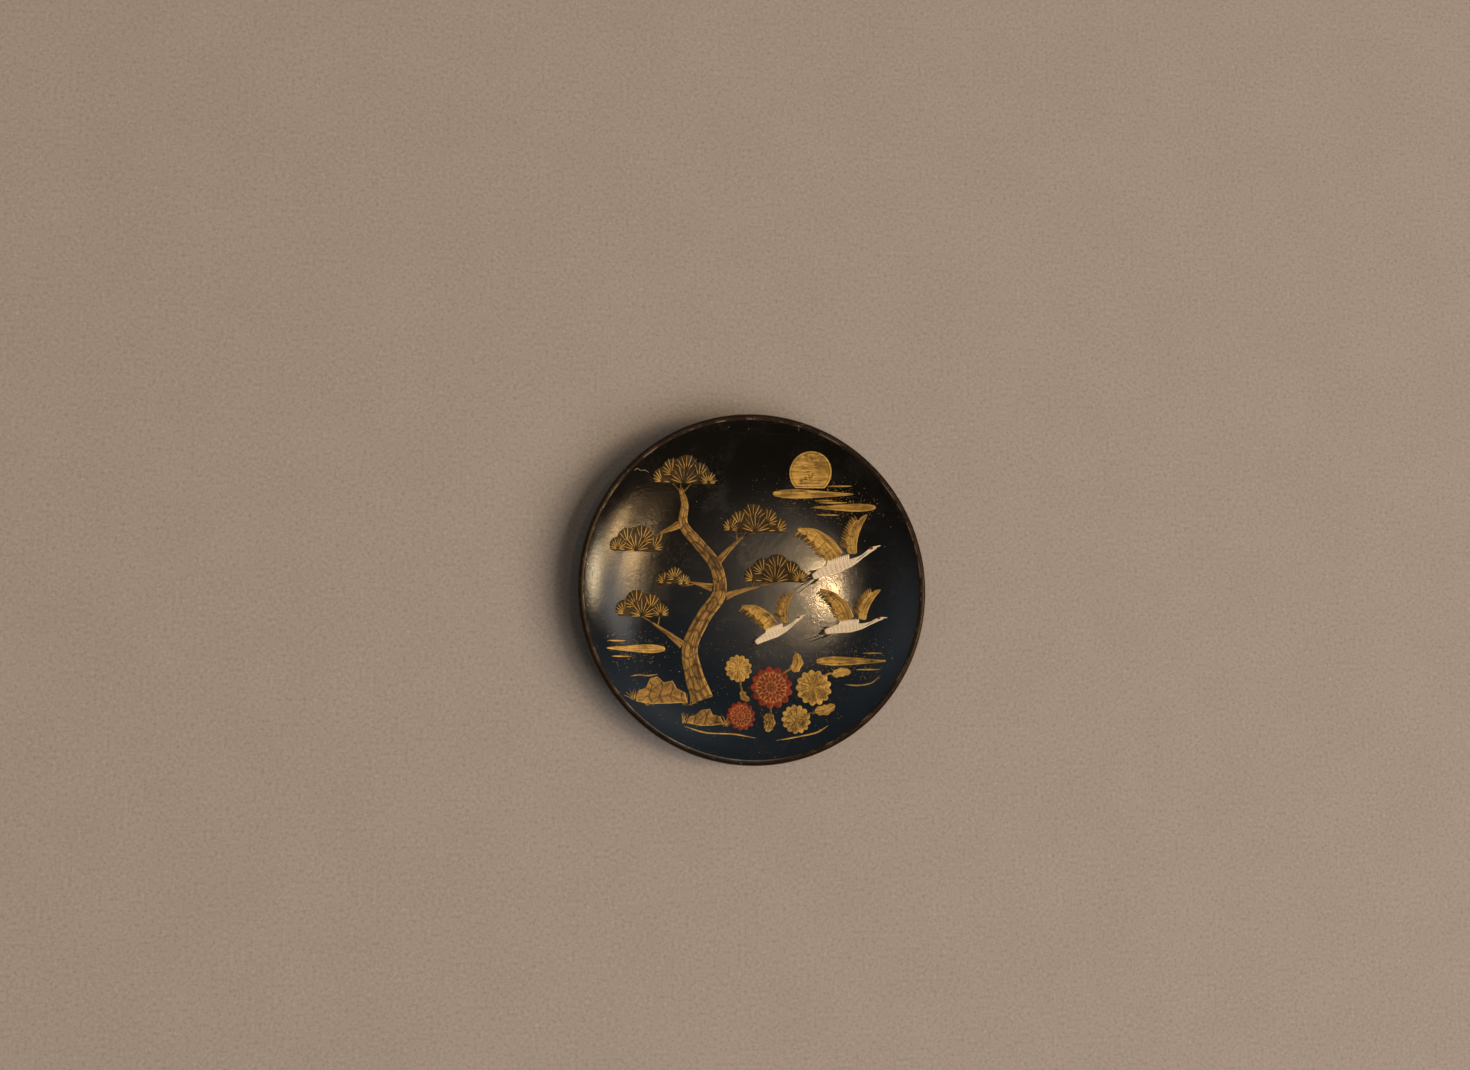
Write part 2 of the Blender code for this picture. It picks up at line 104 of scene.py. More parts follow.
# Steps of the turned skins: round the axis, along what is seen, and back along what is hidden
FACE_STEPS = (360, 120, 40)
LIP_STEPS = (540, 34, 20)
BACK_STEPS = (300, 46, 24)
BASE_STEPS = (240, 30, 12)
SHARP_ANGLE = math.radians(50)

# Marks of the hand and the lathe: the waver of the lip, and the ripple of the back and base
LIP_WAVER = 0.00004
LATHE_RIPPLE = 0.00002
# Long waves left in the face by hand rubbing: heading, length and phase of each
RUBBING = np.array((
    (0.3, 0.061, 0.4), (1.2, 0.047, 2.1), (2.2, 0.072, 4.0),
    (2.9, 0.038, 1.2), (0.8, 0.029, 5.1), (1.9, 0.024, 3.3),
))

# Brush marks in a metre, along a stroke and across it, and how far apart the marks of two pieces are taken
BRUSH_LENGTHWAYS = 50
BRUSH_ACROSS = 480
BRUSH_APART = 31
# How deep a groove is cut into a band, and how far a raised piece goes into the face, as shares of its relief
GROOVE_DEPTH = 0.45
FOOTING = 0.3

# The tables below lay out the picture in units of its own radius, x to the right and y up

# Kinds of pad of pine needles, as the round fans that it is made of: x, y and radius from the pad's middle
NEEDLE_FANS = {
    "broad": (
        (-0.140, -0.010, 0.060), (-0.075, 0.038, 0.068), (0.015, 0.056, 0.078),
        (0.100, 0.022, 0.068), (0.160, -0.014, 0.050), (0.000, -0.010, 0.085),
    ),
    "full": (
        (-0.110, -0.004, 0.060), (-0.035, 0.046, 0.072), (0.055, 0.030, 0.068),
        (0.120, -0.012, 0.052), (0.000, -0.010, 0.078),
    ),
    "small": ((-0.055, 0.000, 0.048), (0.012, 0.026, 0.054), (0.068, -0.006, 0.042)),
}
NEEDLES_IN_FAN = 11
# The root of a fan's needles below its middle, and where each begins, as shares of its radius and reach
FAN_DROP = 0.42
NEEDLE_START = 0.16
NEEDLE_UNDERSIDE = 0.048
# Height of the first dome of a pad and the step to the next, as shares of the pad's relief
DOME_HEIGHT = 0.46
DOME_STEP = 0.05
# Pads of needles: x, y, kind, and 1 or -1 for the way it faces
PINE_PADS = (
    (-0.70, -0.13, "full", 1),
    (0.16, 0.10, "broad", 1),
    (0.03, 0.42, "broad", -1),
    (-0.74, 0.28, "full", -1),
    (-0.44, 0.715, "broad", 1),
    (-0.50, 0.06, "small", 1),
)
PINE_TRUNK = (
    (-0.315, -0.70), (-0.37, -0.53), (-0.39, -0.36), (-0.30, -0.17), (-0.20, -0.02),
    (-0.225, 0.15), (-0.335, 0.29), (-0.435, 0.41), (-0.43, 0.54), (-0.46, 0.64),
)
PINE_TRUNK_WIDTHS = (0.072, 0.058, 0.050, 0.047, 0.044, 0.040, 0.036, 0.031, 0.024, 0.014)
PINE_BRANCHES = (
    ((-0.452, -0.345), (-0.53, -0.285), (-0.64, -0.212)),
    ((-0.150, -0.035), (-0.075, -0.010), (0.055, 0.026)),
    ((-0.200, 0.196), (-0.135, 0.262), (-0.05, 0.345)),
    ((-0.474, 0.405), (-0.53, 0.378), (-0.588, 0.352)),
    ((-0.257, 0.016), (-0.315, 0.030), (-0.372, 0.044)),
)
BRANCH_TAPER = (0.026, 0.015, 0.006)
# How far a branch is carried back into the trunk, as a share of its first stretch
BRANCH_ROOT = 0.16
# Twigs that carry the pads: x and y of the root, and of the tip
PINE_TWIGS = (
    (-0.635, -0.214, -0.720, -0.165), (-0.600, -0.237, -0.585, -0.165), (0.050, 0.025, 0.130, 0.064),
    (0.000, 0.010, 0.030, 0.064), (0.052, 0.026, 0.210, 0.060), (-0.055, 0.340, -0.020, 0.388),
    (-0.085, 0.310, -0.100, 0.388), (-0.052, 0.343, 0.060, 0.382), (-0.583, 0.354, -0.628, 0.316),
    (-0.570, 0.360, -0.600, 0.272), (-0.460, 0.630, -0.455, 0.686), (-0.457, 0.615, -0.525, 0.682),
    (-0.452, 0.605, -0.380, 0.682), (-0.368, 0.044, -0.415, 0.052), (-0.350, 0.040, -0.440, 0.016),
)

# Mist: middle x, y, half length, half width, and 1 or -1 for a tail to the right or the left
MIST_BANDS = (
    (0.40, 0.62, 0.26, 0.030, 1),
    (0.60, 0.535, 0.20, 0.026, -1),
    (-0.74, -0.38, 0.19, 0.028, -1),
    (0.64, -0.45, 0.22, 0.030, 1),
)
MIST_WIDTHS = (0.45, 0.85, 1.0, 0.95, 0.82, 0.66, 0.50, 0.34, 0.16)
# Thin lines beside a band: both ends in half lengths, and height above it in half widths
MIST_LINES = ((0.35, 0.95, 1.7), (0.15, 0.85, -1.8))
SUN = (0.38, 0.755, 0.135)
SUN_ABOVE_MIST = 0.008
SUN_CUT = SUN[1] - MIST_BANDS[0][1] - MIST_BANDS[0][3] - SUN_ABOVE_MIST

# Cranes: x, y, size and turn. The tables after it are in a crane's own size, flying level
CRANES = (
    (0.56, 0.15, 0.27, math.radians(16)),
    (0.62, -0.24, 0.23, math.radians(4)),
    (0.15, -0.28, 0.21, math.radians(20)),
)
CRANE_BODY = (
    (-0.62, -0.06), (-0.30, 0.00), (0.08, 0.02), (0.38, 0.03), (0.66, 0.10), (0.92, 0.20), (1.14, 0.22),
)
CRANE_BODY_WIDTHS = (0.07, 0.12, 0.14, 0.085, 0.040, 0.050, 0.014)
# Wings: middle line, half widths, and the stations where its flight feathers begin and end
CRANE_WINGS = {
    "near_wing": (
        ((-0.66, 1.14), (-0.32, 0.92), (-0.07, 0.59), (0.06, 0.225)), (0.03, 0.13, 0.18, 0.19), (3, 52)
    ),
    "far_wing": (
        ((1.02, 1.02), (0.74, 0.82), (0.54, 0.54), (0.455, 0.205)), (0.02, 0.10, 0.12, 0.09), (16, 52)
    ),
}
QUILL_STATIONS = 60
WING_SCALLOPS = 5
WING_SCALLOP_DEPTH = 0.45
# Flight feathers, and shoulder feathers: what changes goes evenly from the first feather to the last
QUILLS = 13
QUILL_LENGTHS = (0.17, 0.24)
QUILL_HALF_WIDTH = 0.034
QUILL_LEAN = 0.85
QUILL_BEND = 0.25
SHOULDER_FEATHERS = 11
SHOULDER_X = (-0.12, 0.34)
SHOULDER_Y = 0.25
SHOULDER_HEADINGS = np.radians((228, 250))
SHOULDER_LENGTHS = (0.24, 0.18)
SHOULDER_HALF_WIDTH = 0.040
SHOULDER_BEND = 0.3
SHOULDER_LIFT = 0.0003
DRAWING_BEND = 0.12
# Two legs, four tail plumes, two throat marks: x, y, heading in degrees, length, half width, lift in metres
CRANE_STROKES = (
    (-0.40, -0.10, 196, 0.74, 0.013, 0.0),
    (-0.44, -0.06, 191, 0.78, 0.013, 0.0),
    (-0.50, 0.00, 178, 0.26, 0.042, 0.0),
    (-0.52, -0.05, 186, 0.30, 0.046, 0.0),
    (-0.48, -0.12, 200, 0.26, 0.042, 0.0),
    (-0.46, 0.04, 166, 0.22, 0.036, 0.0),
    (0.46, 0.02, 20, 0.46, 0.016, 0.00042),
    (0.98, 0.19, 6, 0.20, 0.014, 0.00040),
)
CRANE_CROWN = (0.90, 0.225)
CROWN_RADIUS = 0.036
CROWN_STRETCH = (1.6, 1.0)
CROWN_RELIEF = 0.00075

# Chrysanthemums: x, y, radius, and whether the flower is red
FLOWERS = (
    (0.13, -0.62, 0.125, True),
    (0.40, -0.62, 0.105, False),
    (-0.08, -0.50, 0.080, False),
    (0.28, -0.82, 0.085, False),
    (-0.07, -0.80, 0.085, True),
)
PETALS = 13
PETAL_NOTCH = 0.18
# Rings of petals in a flower: outer edge as a share of its radius, and turn in petals
PETAL_RINGS = ((1.0, 0.0), (0.74, 0.5), (0.50, 0.0), (0.28, 0.5))
POLLEN_GRAINS = 26
POLLEN_REACH = 0.115
GOLDEN_ANGLE = 2.399963
# Leaves: stalk, middle, tip, and half width
LEAVES = (
    ((0.27, -0.52), (0.30, -0.46), (0.29, -0.40), 0.040),
    ((0.52, -0.54), (0.58, -0.52), (0.64, -0.52), 0.032),
    ((0.10, -0.78), (0.11, -0.84), (0.09, -0.90), 0.040),
    ((0.40, -0.77), (0.47, -0.76), (0.53, -0.73), 0.036),
    ((-0.06, -0.64), (-0.05, -0.68), (-0.01, -0.70), 0.024),
)
LEAF_WIDTHS = (0.15, 0.85, 0.75, 1.0, 0.70, 0.70, 0.15)
STEMS = (
    ((0.20, -0.53), (0.25, -0.50), (0.29, -0.46)),
    ((0.47, -0.55), (0.50, -0.53), (0.54, -0.535)),
    ((0.12, -0.74), (0.12, -0.78), (0.11, -0.83)),
    ((0.35, -0.79), (0.39, -0.78), (0.44, -0.765)),
    ((-0.07, -0.57), (-0.065, -0.62), (-0.05, -0.67)),
)

# Rocks at the foot of the pine: x and y of the middle, and corners from there
ROCKS = (
    ((-0.575, -0.665), (
        (0.165, -0.052), (0.150, 0.012), (0.098, 0.034), (0.070, 0.086),
        (0.012, 0.074), (-0.030, 0.112), (-0.076, 0.098), (-0.104, 0.040),
        (-0.150, 0.022), (-0.172, -0.046), (-0.060, -0.062), (0.060, -0.058),
    )),
    ((-0.30, -0.815), (
        (0.118, -0.036), (0.096, 0.012), (0.050, 0.022), (0.030, 0.060), (-0.026, 0.052),
        (-0.058, 0.024), (-0.104, 0.010), (-0.122, -0.030), (-0.030, -0.048), (0.040, -0.046),
    )),
)
# Tufts of grass: x and y of the root, blades in each, and how far the roots spread across and up
TUFTS = ((-0.765, -0.700), (-0.405, -0.735), (-0.43, -0.850), (-0.165, -0.865), (-0.66, -0.735))
GRASS_BLADES = 13
GRASS_SPREAD = (0.016, 0.004)
SHORE_LINES = (
    ((-0.44, -0.865), (-0.30, -0.905), (-0.12, -0.915), (0.02, -0.94)),
    ((-0.78, -0.555), (-0.72, -0.545), (-0.66, -0.55), (-0.60, -0.54)),
    ((0.48, -0.86), (0.40, -0.905), (0.26, -0.935), (0.14, -0.955)),
    ((0.60, -0.60), (0.68, -0.605), (0.76, -0.59), (0.82, -0.545)),
)
HAIRLINE = ((-0.765, 0.735), (-0.745, 0.748), (-0.72, 0.738), (-0.695, 0.742), (-0.668, 0.728))
# Ridges that old brush marks and cracks leave in the face
RIDGES = (
    ((-0.90, 0.38), (-0.84, 0.44), (-0.78, 0.41), (-0.72, 0.46), (-0.66, 0.44)),
    ((-0.96, 0.20), (-0.90, 0.24), (-0.85, 0.22), (-0.80, 0.25)),
    ((-0.80, 0.58), (-0.73, 0.55), (-0.66, 0.60), (-0.58, 0.57)),
    ((-0.93, -0.02), (-0.88, 0.04), (-0.90, 0.11)),
    ((0.62, 0.02), (0.70, 0.05), (0.80, 0.02)),
)
# Points along and across each kind of band
BAND_POINTS = {
    "trunk": (260, 33),
    "branch": (60, 17),
    "mist": (150, 25),
    "body": (150, 21),
    "wing": (131, 33),
    "leaf": (90, 25),
}
# Points round each kind of pad, or along a petal or an edge of it, and rings from its middle to its outline
PAD_POINTS = {
    "needles": (200, 56),
    "sun": (168, 44),
    "crown": (20, 9),
    "petal": (14, 60),
    "edge": (18, 64),
}
# Kinds of thin line: half widths along it, points along and across it, and its height in metres
LINES = {
    "hairline": ((0.0012, 0.0020, 0.0014, 0.0017, 0.0008), 60, 5, 0.00003),
    "ridge": ((0.001, 0.004, 0.003, 0.004, 0.001), 60, 9, 0.00012),
    "mist": ((0.0012, 0.0045, 0.0055, 0.0040, 0.0010), 70, 9, 0.0004),
    "stem": ((0.006, 0.007, 0.006), 40, 9, 0.0004),
    "shore": ((0.001, 0.005, 0.004, 0.005, 0.001), 90, 7, 0.0003),
}
# Brush strokes in metres: half width and height. Pollen has its length before them, its bend and lift after
TWIG_STROKE = (0.00085, 0.00045)
GRASS_STROKE = (0.00026, 0.0002)
POLLEN_STROKE = (0.00055, 0.00022, 0.00030, 0.0, 0.00075)
NEEDLE_HEIGHT = 0.00020
DRAWING_HEIGHT = 0.00018
QUILL_HEIGHT = 0.00022
SHOULDER_HEIGHT = 0.00028
FLECK_HEIGHT = 0.00008
# Reliefs as shares of the bark's or the gold's own
BRANCH_RELIEF = 0.85
BED_RELIEF = 1.25
FLOWER_RELIEF = 1.3
# A brush stroke has four sides; these are its stations, its taper there, and its corners aside and up
STROKE_RUN = np.array((0.04, 0.3, 0.6, 0.82, 0.97))
STROKE_TAPER = np.array((0.55, 1.0, 0.85, 0.55, 0.15))
STROKE_SIDE = np.array((-1.0, 0.0, 1.0, 0.0))
STROKE_UP = np.array((0.0, 1.0, 0.0, -0.6))

# Colours of the light
PALE = (1.0, 0.78, 0.49)
GOLDEN = (1.0, 0.64, 0.29)
GREY = (1.0, 0.92, 0.86)
COOL = (0.78, 0.91, 1.0)
WALL = (1.0, 0.93, 0.85)
SPOT = (0.0785, 0.072, 0.995)
# Square lamps: name, direction, distance, side, colour, and whether what is polished mirrors them
SQUARE_LAMPS = (
    ("fill_lamp", (0.60, -0.35, 0.72), 8.0, 6.0, (1.0, 0.97, 0.95), False),
    ("small_lamp", SPOT, 2.0, 0.045, (1.0, 0.68, 0.34), True),
)
# Round lamps that the face mirrors: direction, degrees where one ends and where it is full, strength, colour
ROOM_LAMPS = (
    ((0.782, 0.017, 0.620), 7.0, 1.2, 26.0, PALE),
    ((0.645, -0.116, 0.755), 4.8, 0.6, 31.0, GOLDEN),
    ((0.472, 0.003, 0.882), 3.8, 0.4, 40.0, GOLDEN),
    ((0.520, -0.083, 0.846), 10.0, 2.0, 1.2, GOLDEN),
    ((0.588, 0.090, 0.805), 11.0, 3.0, 2.7, GREY),
)
# Soft glows: direction, tightness, strength, colour
ROOM_GLOWS = (
    (SPOT, 420.0, 1.5, GOLDEN),
    (SPOT, 130.0, 0.84, GREY),
    ((0.50, 0.50, 0.707), 40.0, 0.48, COOL),
    ((0.74, 0.52, 0.43), 40.0, 0.30, COOL),
    ((0.10, 0.65, 0.75), 6.0, 0.15, COOL),
    ((-0.50, 0.24, 0.83), 20.0, 0.39, COOL),
)
FLOOR_REACH = 20.0
# The camera: the way back to it from the dish, and where the dish is from the middle of the frame in pixels
CAMERA_WAY = (-0.172, -0.075, 0.982)
DISH_RIGHT_PIXELS = 19.0
DISH_DOWN_PIXELS = 53.6
FRAME_PIXELS = 1470
SENSOR_WIDTH = 36.0


def length_property(name, description, default):
    """A length that the panel shows."""
    return FloatProperty(name=name, description=description, default=default, unit="LENGTH")


def colour_property(name, description, default):
    """A colour that the panel shows, with its values in linear light."""
    return FloatVectorProperty(
        name=name, description=description, default=default, subtype="COLOR", size=3, min=0.0, max=1.0
    )


class DishSizes(bpy.types.PropertyGroup):
    """Sizes of the fine work."""

    gold_relief: length_property("Gold relief", "Height of gold and red above the face", 0.0006)
    brown_relief: length_property("Bark relief", "Height of trunk, branches and rocks", 0.0008)
    shell_relief: length_property("Shell relief", "Height of the shell above the face", 0.0005)
    needle_width: length_property("Needle width", "Half width of a pine needle", 0.00054)
    rubbing_height: length_property("Rubbing waves", "Height of the long waves in the face", 0.00003)
    nick_depth: length_property("Nick depth", "Depth of the deepest nicks in the lip", 0.00035)
    nick_count: IntProperty(name="Nicks", description="How many nicks the lip has", default=46)
    fleck_count: IntProperty(name="Gold flecks", description="How many flecks are sprinkled", default=1500)


class DishColours(bpy.types.PropertyGroup):
    """Colours of the finishes and the floor."""

    brown_black: colour_property("Brown black", "Face lacquer at the top", (0.0034, 0.0026, 0.0018))
    # Blue black is partly the lacquer's own tint and partly a painted reflection of cool light low on the
    # face
    blue_black_and_sheen: colour_property("Blue black", "Face lacquer low down", (0.0033, 0.0054, 0.0082))
    worn_brown: colour_property("Worn brown", "Where lacquer is rubbed through", (0.085, 0.044, 0.020))
    worn_pale: colour_property("Worn pale", "Ground where the lacquer is gone", (0.270, 0.200, 0.130))
    lip_brown: colour_property("Lip brown", "Lacquer of the lip", (0.0065, 0.0040, 0.0026))
    back_black: colour_property("Back black", "Lacquer of the back and foot", (0.012, 0.009, 0.007))
    gold: colour_property("Gold", "Fresh gold powder", (0.560, 0.322, 0.070))
    dull_gold: colour_property("Dull gold", "Gold dulled by age", (0.190, 0.098, 0.022))
    bark: colour_property("Bark gold", "Gold of trunk and rocks", (0.330, 0.174, 0.040))
    dull_bark: colour_property("Dull bark", "Brown between the strokes of the bark", (0.080, 0.039, 0.012))
    shade_gold: colour_property("Shade gold", "Gold in the shade of the needles", (0.044, 0.024, 0.0065))
    red: colour_property("Red", "Red lacquer", (0.205, 0.019, 0.005))
    shell: colour_property("Shell", "Warm white shell", (0.630, 0.490, 0.315))
    wood: colour_property("Wood", "Bare wood of the core", (0.320, 0.200, 0.100))
    hemp: colour_property("Hemp", "Cloth under the lacquer", (0.420, 0.360, 0.250))
    clay: colour_property("Clay", "Ground under the lacquer", (0.160, 0.130, 0.110))
    floor: colour_property("Floor", "Pale floor", (0.285, 0.240, 0.205))


class DishStage(bpy.types.PropertyGroup):
    """Light and camera."""

    eye_distance: length_property("Eye distance", "From the camera to the dish", 1.72)
    lens: FloatProperty(name="Lens", description="Focal length in millimetres", default=49.0, unit="CAMERA")
    fill_power: FloatProperty(name="Fill", description="Broad lamp", default=680.0, unit="POWER")
    lamp_power: FloatProperty(name="Lamp", description="Small warm lamp", default=1.9, unit="POWER")
    room_glow: FloatProperty(name="Room glow", description="Share of the room's lamps and glows", default=1.0)
    wall_glow: FloatProperty(name="Wall glow", description="Light from low down, all round", default=0.5)
    room_light: FloatProperty(name="Room", description="Strength of the even light all round", default=0.035)


class Shade:
    """One socket of a node tree: arithmetic on it adds Math nodes, and node() adds any other node."""

    def __init__(self, tree, socket=None):
        self.tree = tree
        self.socket = socket

    def feed(self, node, values):
        """Give each of a node's sockets its value or its link."""
        for key, value in values.items():
            if isinstance(value, Shade):
                self.tree.links.new(value.socket, node.inputs[key])
            else:
                node.inputs[key].default_value = value

    def node(self, kind, settings=None, values=None, output=0):
        """Add a node: first its settings, then what feeds its sockets."""
        added = self.tree.nodes.new(kind)
        for name, setting in (settings or {}).items():
            setattr(added, name, setting)
        self.feed(added, values or {})
        return Shade(self.tree, added.outputs[output])

    def maths(self, operation, first, second):
        return self.node("ShaderNodeMath", {"operation": operation}, {0: first, 1: second})

    def __add__(self, other):
        return self.maths("ADD", self, other)

    def __radd__(self, other):
        return self.maths("ADD", other, self)

    def __sub__(self, other):
        return self.maths("SUBTRACT", self, other)

    def __rsub__(self, other):
        return self.maths("SUBTRACT", other, self)

    def __mul__(self, other):
        return self.maths("MULTIPLY", self, other)

    def __rmul__(self, other):
        return self.maths("MULTIPLY", other, self)

    def __pow__(self, other):
        return self.maths("POWER", self, other)

    def sine(self):
        return self.maths("SINE", self, 0.0)

    def at_least(self, other):
        return self.maths("MAXIMUM", self, other)

    def smooth(self, low, high):
        """From 0 at low to 1 at high, in an S-shaped curve."""
        settings = {"interpolation_type": "SMOOTHSTEP"}
        return self.node("ShaderNodeMapRange", settings, {0: self, 1: low, 2: high, 3: 0.0, 4: 1.0})

    def between(self, first, second):
        """A colour that goes from the first to the second as this value goes from 0 to 1."""
        values = {0: self, 6: opaque(first), 7: opaque(second)}
        return self.node("ShaderNodeMix", {"data_type": "RGBA"}, values, 2)


def opaque(colour):
    """Three numbers as a colour that hides what is behind it, or a socket as it is."""
    return colour if isinstance(colour, Shade) else (*colour, 1.0)


def tinted(colour, share):
    """A colour made darker or lighter by a share."""
    return tuple(value * share for value in colour)


def coated(body, *coats):
    """A colour with coats laid over it in turn, each a mask of 0 to 1 and a colour."""
    for mask, colour in coats:
        body = mask.between(body, colour)
    return body


def split(vector):
    """The x, y and z of a vector."""
    return [vector.node("ShaderNodeSeparateXYZ", values={0: vector}, output=axis) for axis in range(3)]


def from_axis(x, y):
    """Distance from the dish's axis."""
    return (x * x + y * y) ** 0.5


def stretched(vector, turn, scale):
    """A vector turned about Z and then stretched along each axis."""
    values = {"Vector": vector, "Rotation": (0.0, 0.0, turn), "Scale": scale}
    return vector.node("ShaderNodeMapping", values=values)


def grain(vector, scale, detail=3.0, roughness=0.55, distortion=0.0):
    """Cloudy noise from 0 to 1."""
    values = {"Scale": scale, "Detail": detail, "Roughness": roughness, "Distortion": distortion}
    return vector.node("ShaderNodeTexNoise", values={"Vector": vector, **values})


def cell_edges(vector, scale):
    """Distance from the edges of irregular cells."""
    settings = {"feature": "DISTANCE_TO_EDGE"}
    return vector.node("ShaderNodeTexVoronoi", settings, {"Vector": vector, "Scale": scale})


def dots(vector, scale, size, share):
    """Small round spots, one in a share of the cells."""
    values = {"Vector": vector, "Scale": scale}
    distance = vector.node("ShaderNodeTexVoronoi", values=values)
    chance = vector.node("ShaderNodeTexVoronoi", values=values, output="Color")
    pick = vector.node("ShaderNodeSeparateColor", values={0: chance})
    return distance.smooth(size, 0.4 * size) * pick.smooth(share, 0.6 * share)


def scratches(vector, *sets):
    """Sets of long thin lines: noise that is stretched far along a heading, cut off near its peaks.

    A set is its heading, how fine its lines are, and how rare.
    """
    lines = []
    for turn, fineness, rarity in sets:
        noise = grain(stretched(vector, turn, (9.0, fineness, 9.0)), 1.0, 2.0)
        lines.append(noise.smooth(rarity, rarity + 0.06))
    return reduce(Shade.at_least, lines)


def kept(shade, name, output="Fac"):
    """A value or a vector stored on the points of the mesh."""
    return shade.node("ShaderNodeAttribute", {"attribute_name": name}, output=output)


def bumped(height, depth):
    """The normal of a relief: a height of 0 to 1 and its depth in metres."""
    return height.node("ShaderNodeBump", values={"Strength": 1.0, "Distance": depth, "Height": height})


# Each painter below takes Object coordinates, which are metres in the dish's frame as every piece sits at the
# origin, and the colours. It gives what feeds the sockets of the Principled shader


def paint_face(place, colours):
    """Old polished lacquer: brown-black above, blue-black below, hazed, scratched, finely crazed and specked.

    The lighter blue-black below is partly a tint of the lacquer and partly a painted reflection of cool light
    from above. It is leathery high up, and most of all on the left.
    """
    x, y = split(place)[:2]
    drift = grain(place, 16.0, 4.0) - 0.5
    # Lighter and bluer low down: partly the lacquer's tint, partly a painted reflection of cool light from
    # above
    low = (y + drift * 0.10).smooth(0.035, -0.075)
    high = (y + drift * 0.16).smooth(-0.060, -0.010)
    left = (x + drift * 0.08).smooth(-0.020, -0.125) * (0.2 + 0.8 * high)
    haze = grain(place, 34.0, 5.0, 0.6).smooth(0.50, 0.76)
    rubbed = scratches(place, (0.35, 2300.0, 0.70), (1.75, 2600.0, 0.72), (2.55, 2000.0, 0.73))
    crazed = cell_edges(place, 210.0).smooth(0.035, 0.006) * grain(place, 27.0, 2.0).smooth(0.46, 0.66)
    specks = dots(place, 230.0, 0.11, 0.16)
    rim_wear = from_axis(x, y).smooth(0.1425, 0.1462) * grain(place, 420.0, 4.0, 0.7).smooth(0.56, 0.70)
    body = coated(
        low.between(colours.brown_black, colours.blue_black_and_sheen),
        (haze * 0.35, (0.016, 0.0145, 0.013)),
        (rubbed * 0.16, (0.070, 0.060, 0.048)),
        (crazed * 0.30, (0.035, 0.028, 0.020)),
        (rim_wear * 0.6, colours.worn_brown),
        (specks * 0.8, (0.230, 0.185, 0.130)),
    )
    gloss = 0.10 + 0.05 * haze + 0.03 * left + 0.05 * rubbed + 0.10 * crazed + 0.25 * rim_wear + 0.25 * specks
    peel = grain(place, 300.0, 3.0, 0.5, 0.8)
    leather = grain(place, 900.0, 2.0, 0.6, 1.2)
    wrinkles = grain(stretched(place, 0.5, (70.0, 210.0, 70.0)), 1.0, 3.0, 0.55, 1.6)
    relief = peel * (0.08 + 0.08 * high + 0.20 * left) + leather * (0.03 + 0.035 * high + 0.25 * left)
    relief = relief + wrinkles * (0.06 * high + 0.22 * left) - 0.03 * crazed - 0.03 * rubbed + 0.1 * specks
    return {"Base Color": body, "Roughness": gloss, "Normal": bumped(relief, 0.00016)}


def paint_lip(place, colours):
    """Brown-black lacquer, rubbed to brown on the crest and in the nicks, with a broken pale line of wear
    inside.

    Low on the left that line is stronger and cool grey: a painted reflection.
    """
    x, y, z = split(place)
    radius = from_axis(x, y)
    blotch = grain(place, 75.0, 4.0, 0.65)
    fine = grain(place, 520.0, 4.0, 0.7)
    crest = z.smooth(HEIGHT - 0.00016, HEIGHT - 0.00005)
    inner = radius.smooth(LIP_R - 0.0022, LIP_R - 0.0018) * radius.smooth(LIP_R - 0.0009, LIP_R - 0.0013)
    nicks = kept(place, "nick").smooth(0.2, 0.7)
    wear = (crest * blotch.smooth(0.42, 0.60) * fine.smooth(0.40, 0.62)).at_least(nicks * 0.9)
    flecks = dots(place, 420.0, 0.22, 0.16) * z.smooth(HEIGHT - 0.0022, HEIGHT - 0.0008)
    scuffs = scratches(place, (0.9, 1700.0, 0.70), (2.4, 1500.0, 0.72))
    # Low on the left the inner line is stronger and cool grey: a painted reflection; elsewhere it is pale
    # wear
    below = y.smooth(-0.070, -0.125) * x.smooth(0.045, 0.000)
    line = inner * (0.04 + 0.42 * blotch.smooth(0.49, 0.62) + 0.40 * below)
    body = coated(
        blotch.between(colours.lip_brown, tinted(colours.lip_brown, 1.7)),
        (scuffs * 0.2, colours.worn_brown),
        (wear * 0.5, colours.worn_brown),
        (line, below.between(colours.worn_pale, (0.150, 0.165, 0.165))),
        (flecks * 0.8, colours.worn_pale),
    )
    return {
        "Base Color": body,
        "Roughness": 0.15 + 0.10 * blotch + 0.30 * wear + 0.1 * scuffs,
        "Normal": bumped(0.5 * fine + 0.4 * blotch - 0.5 * wear, 0.00010),
        "Specular IOR Level": 0.18,
        "Specular Tint": (1.0, 0.72, 0.46, 1.0),
    }


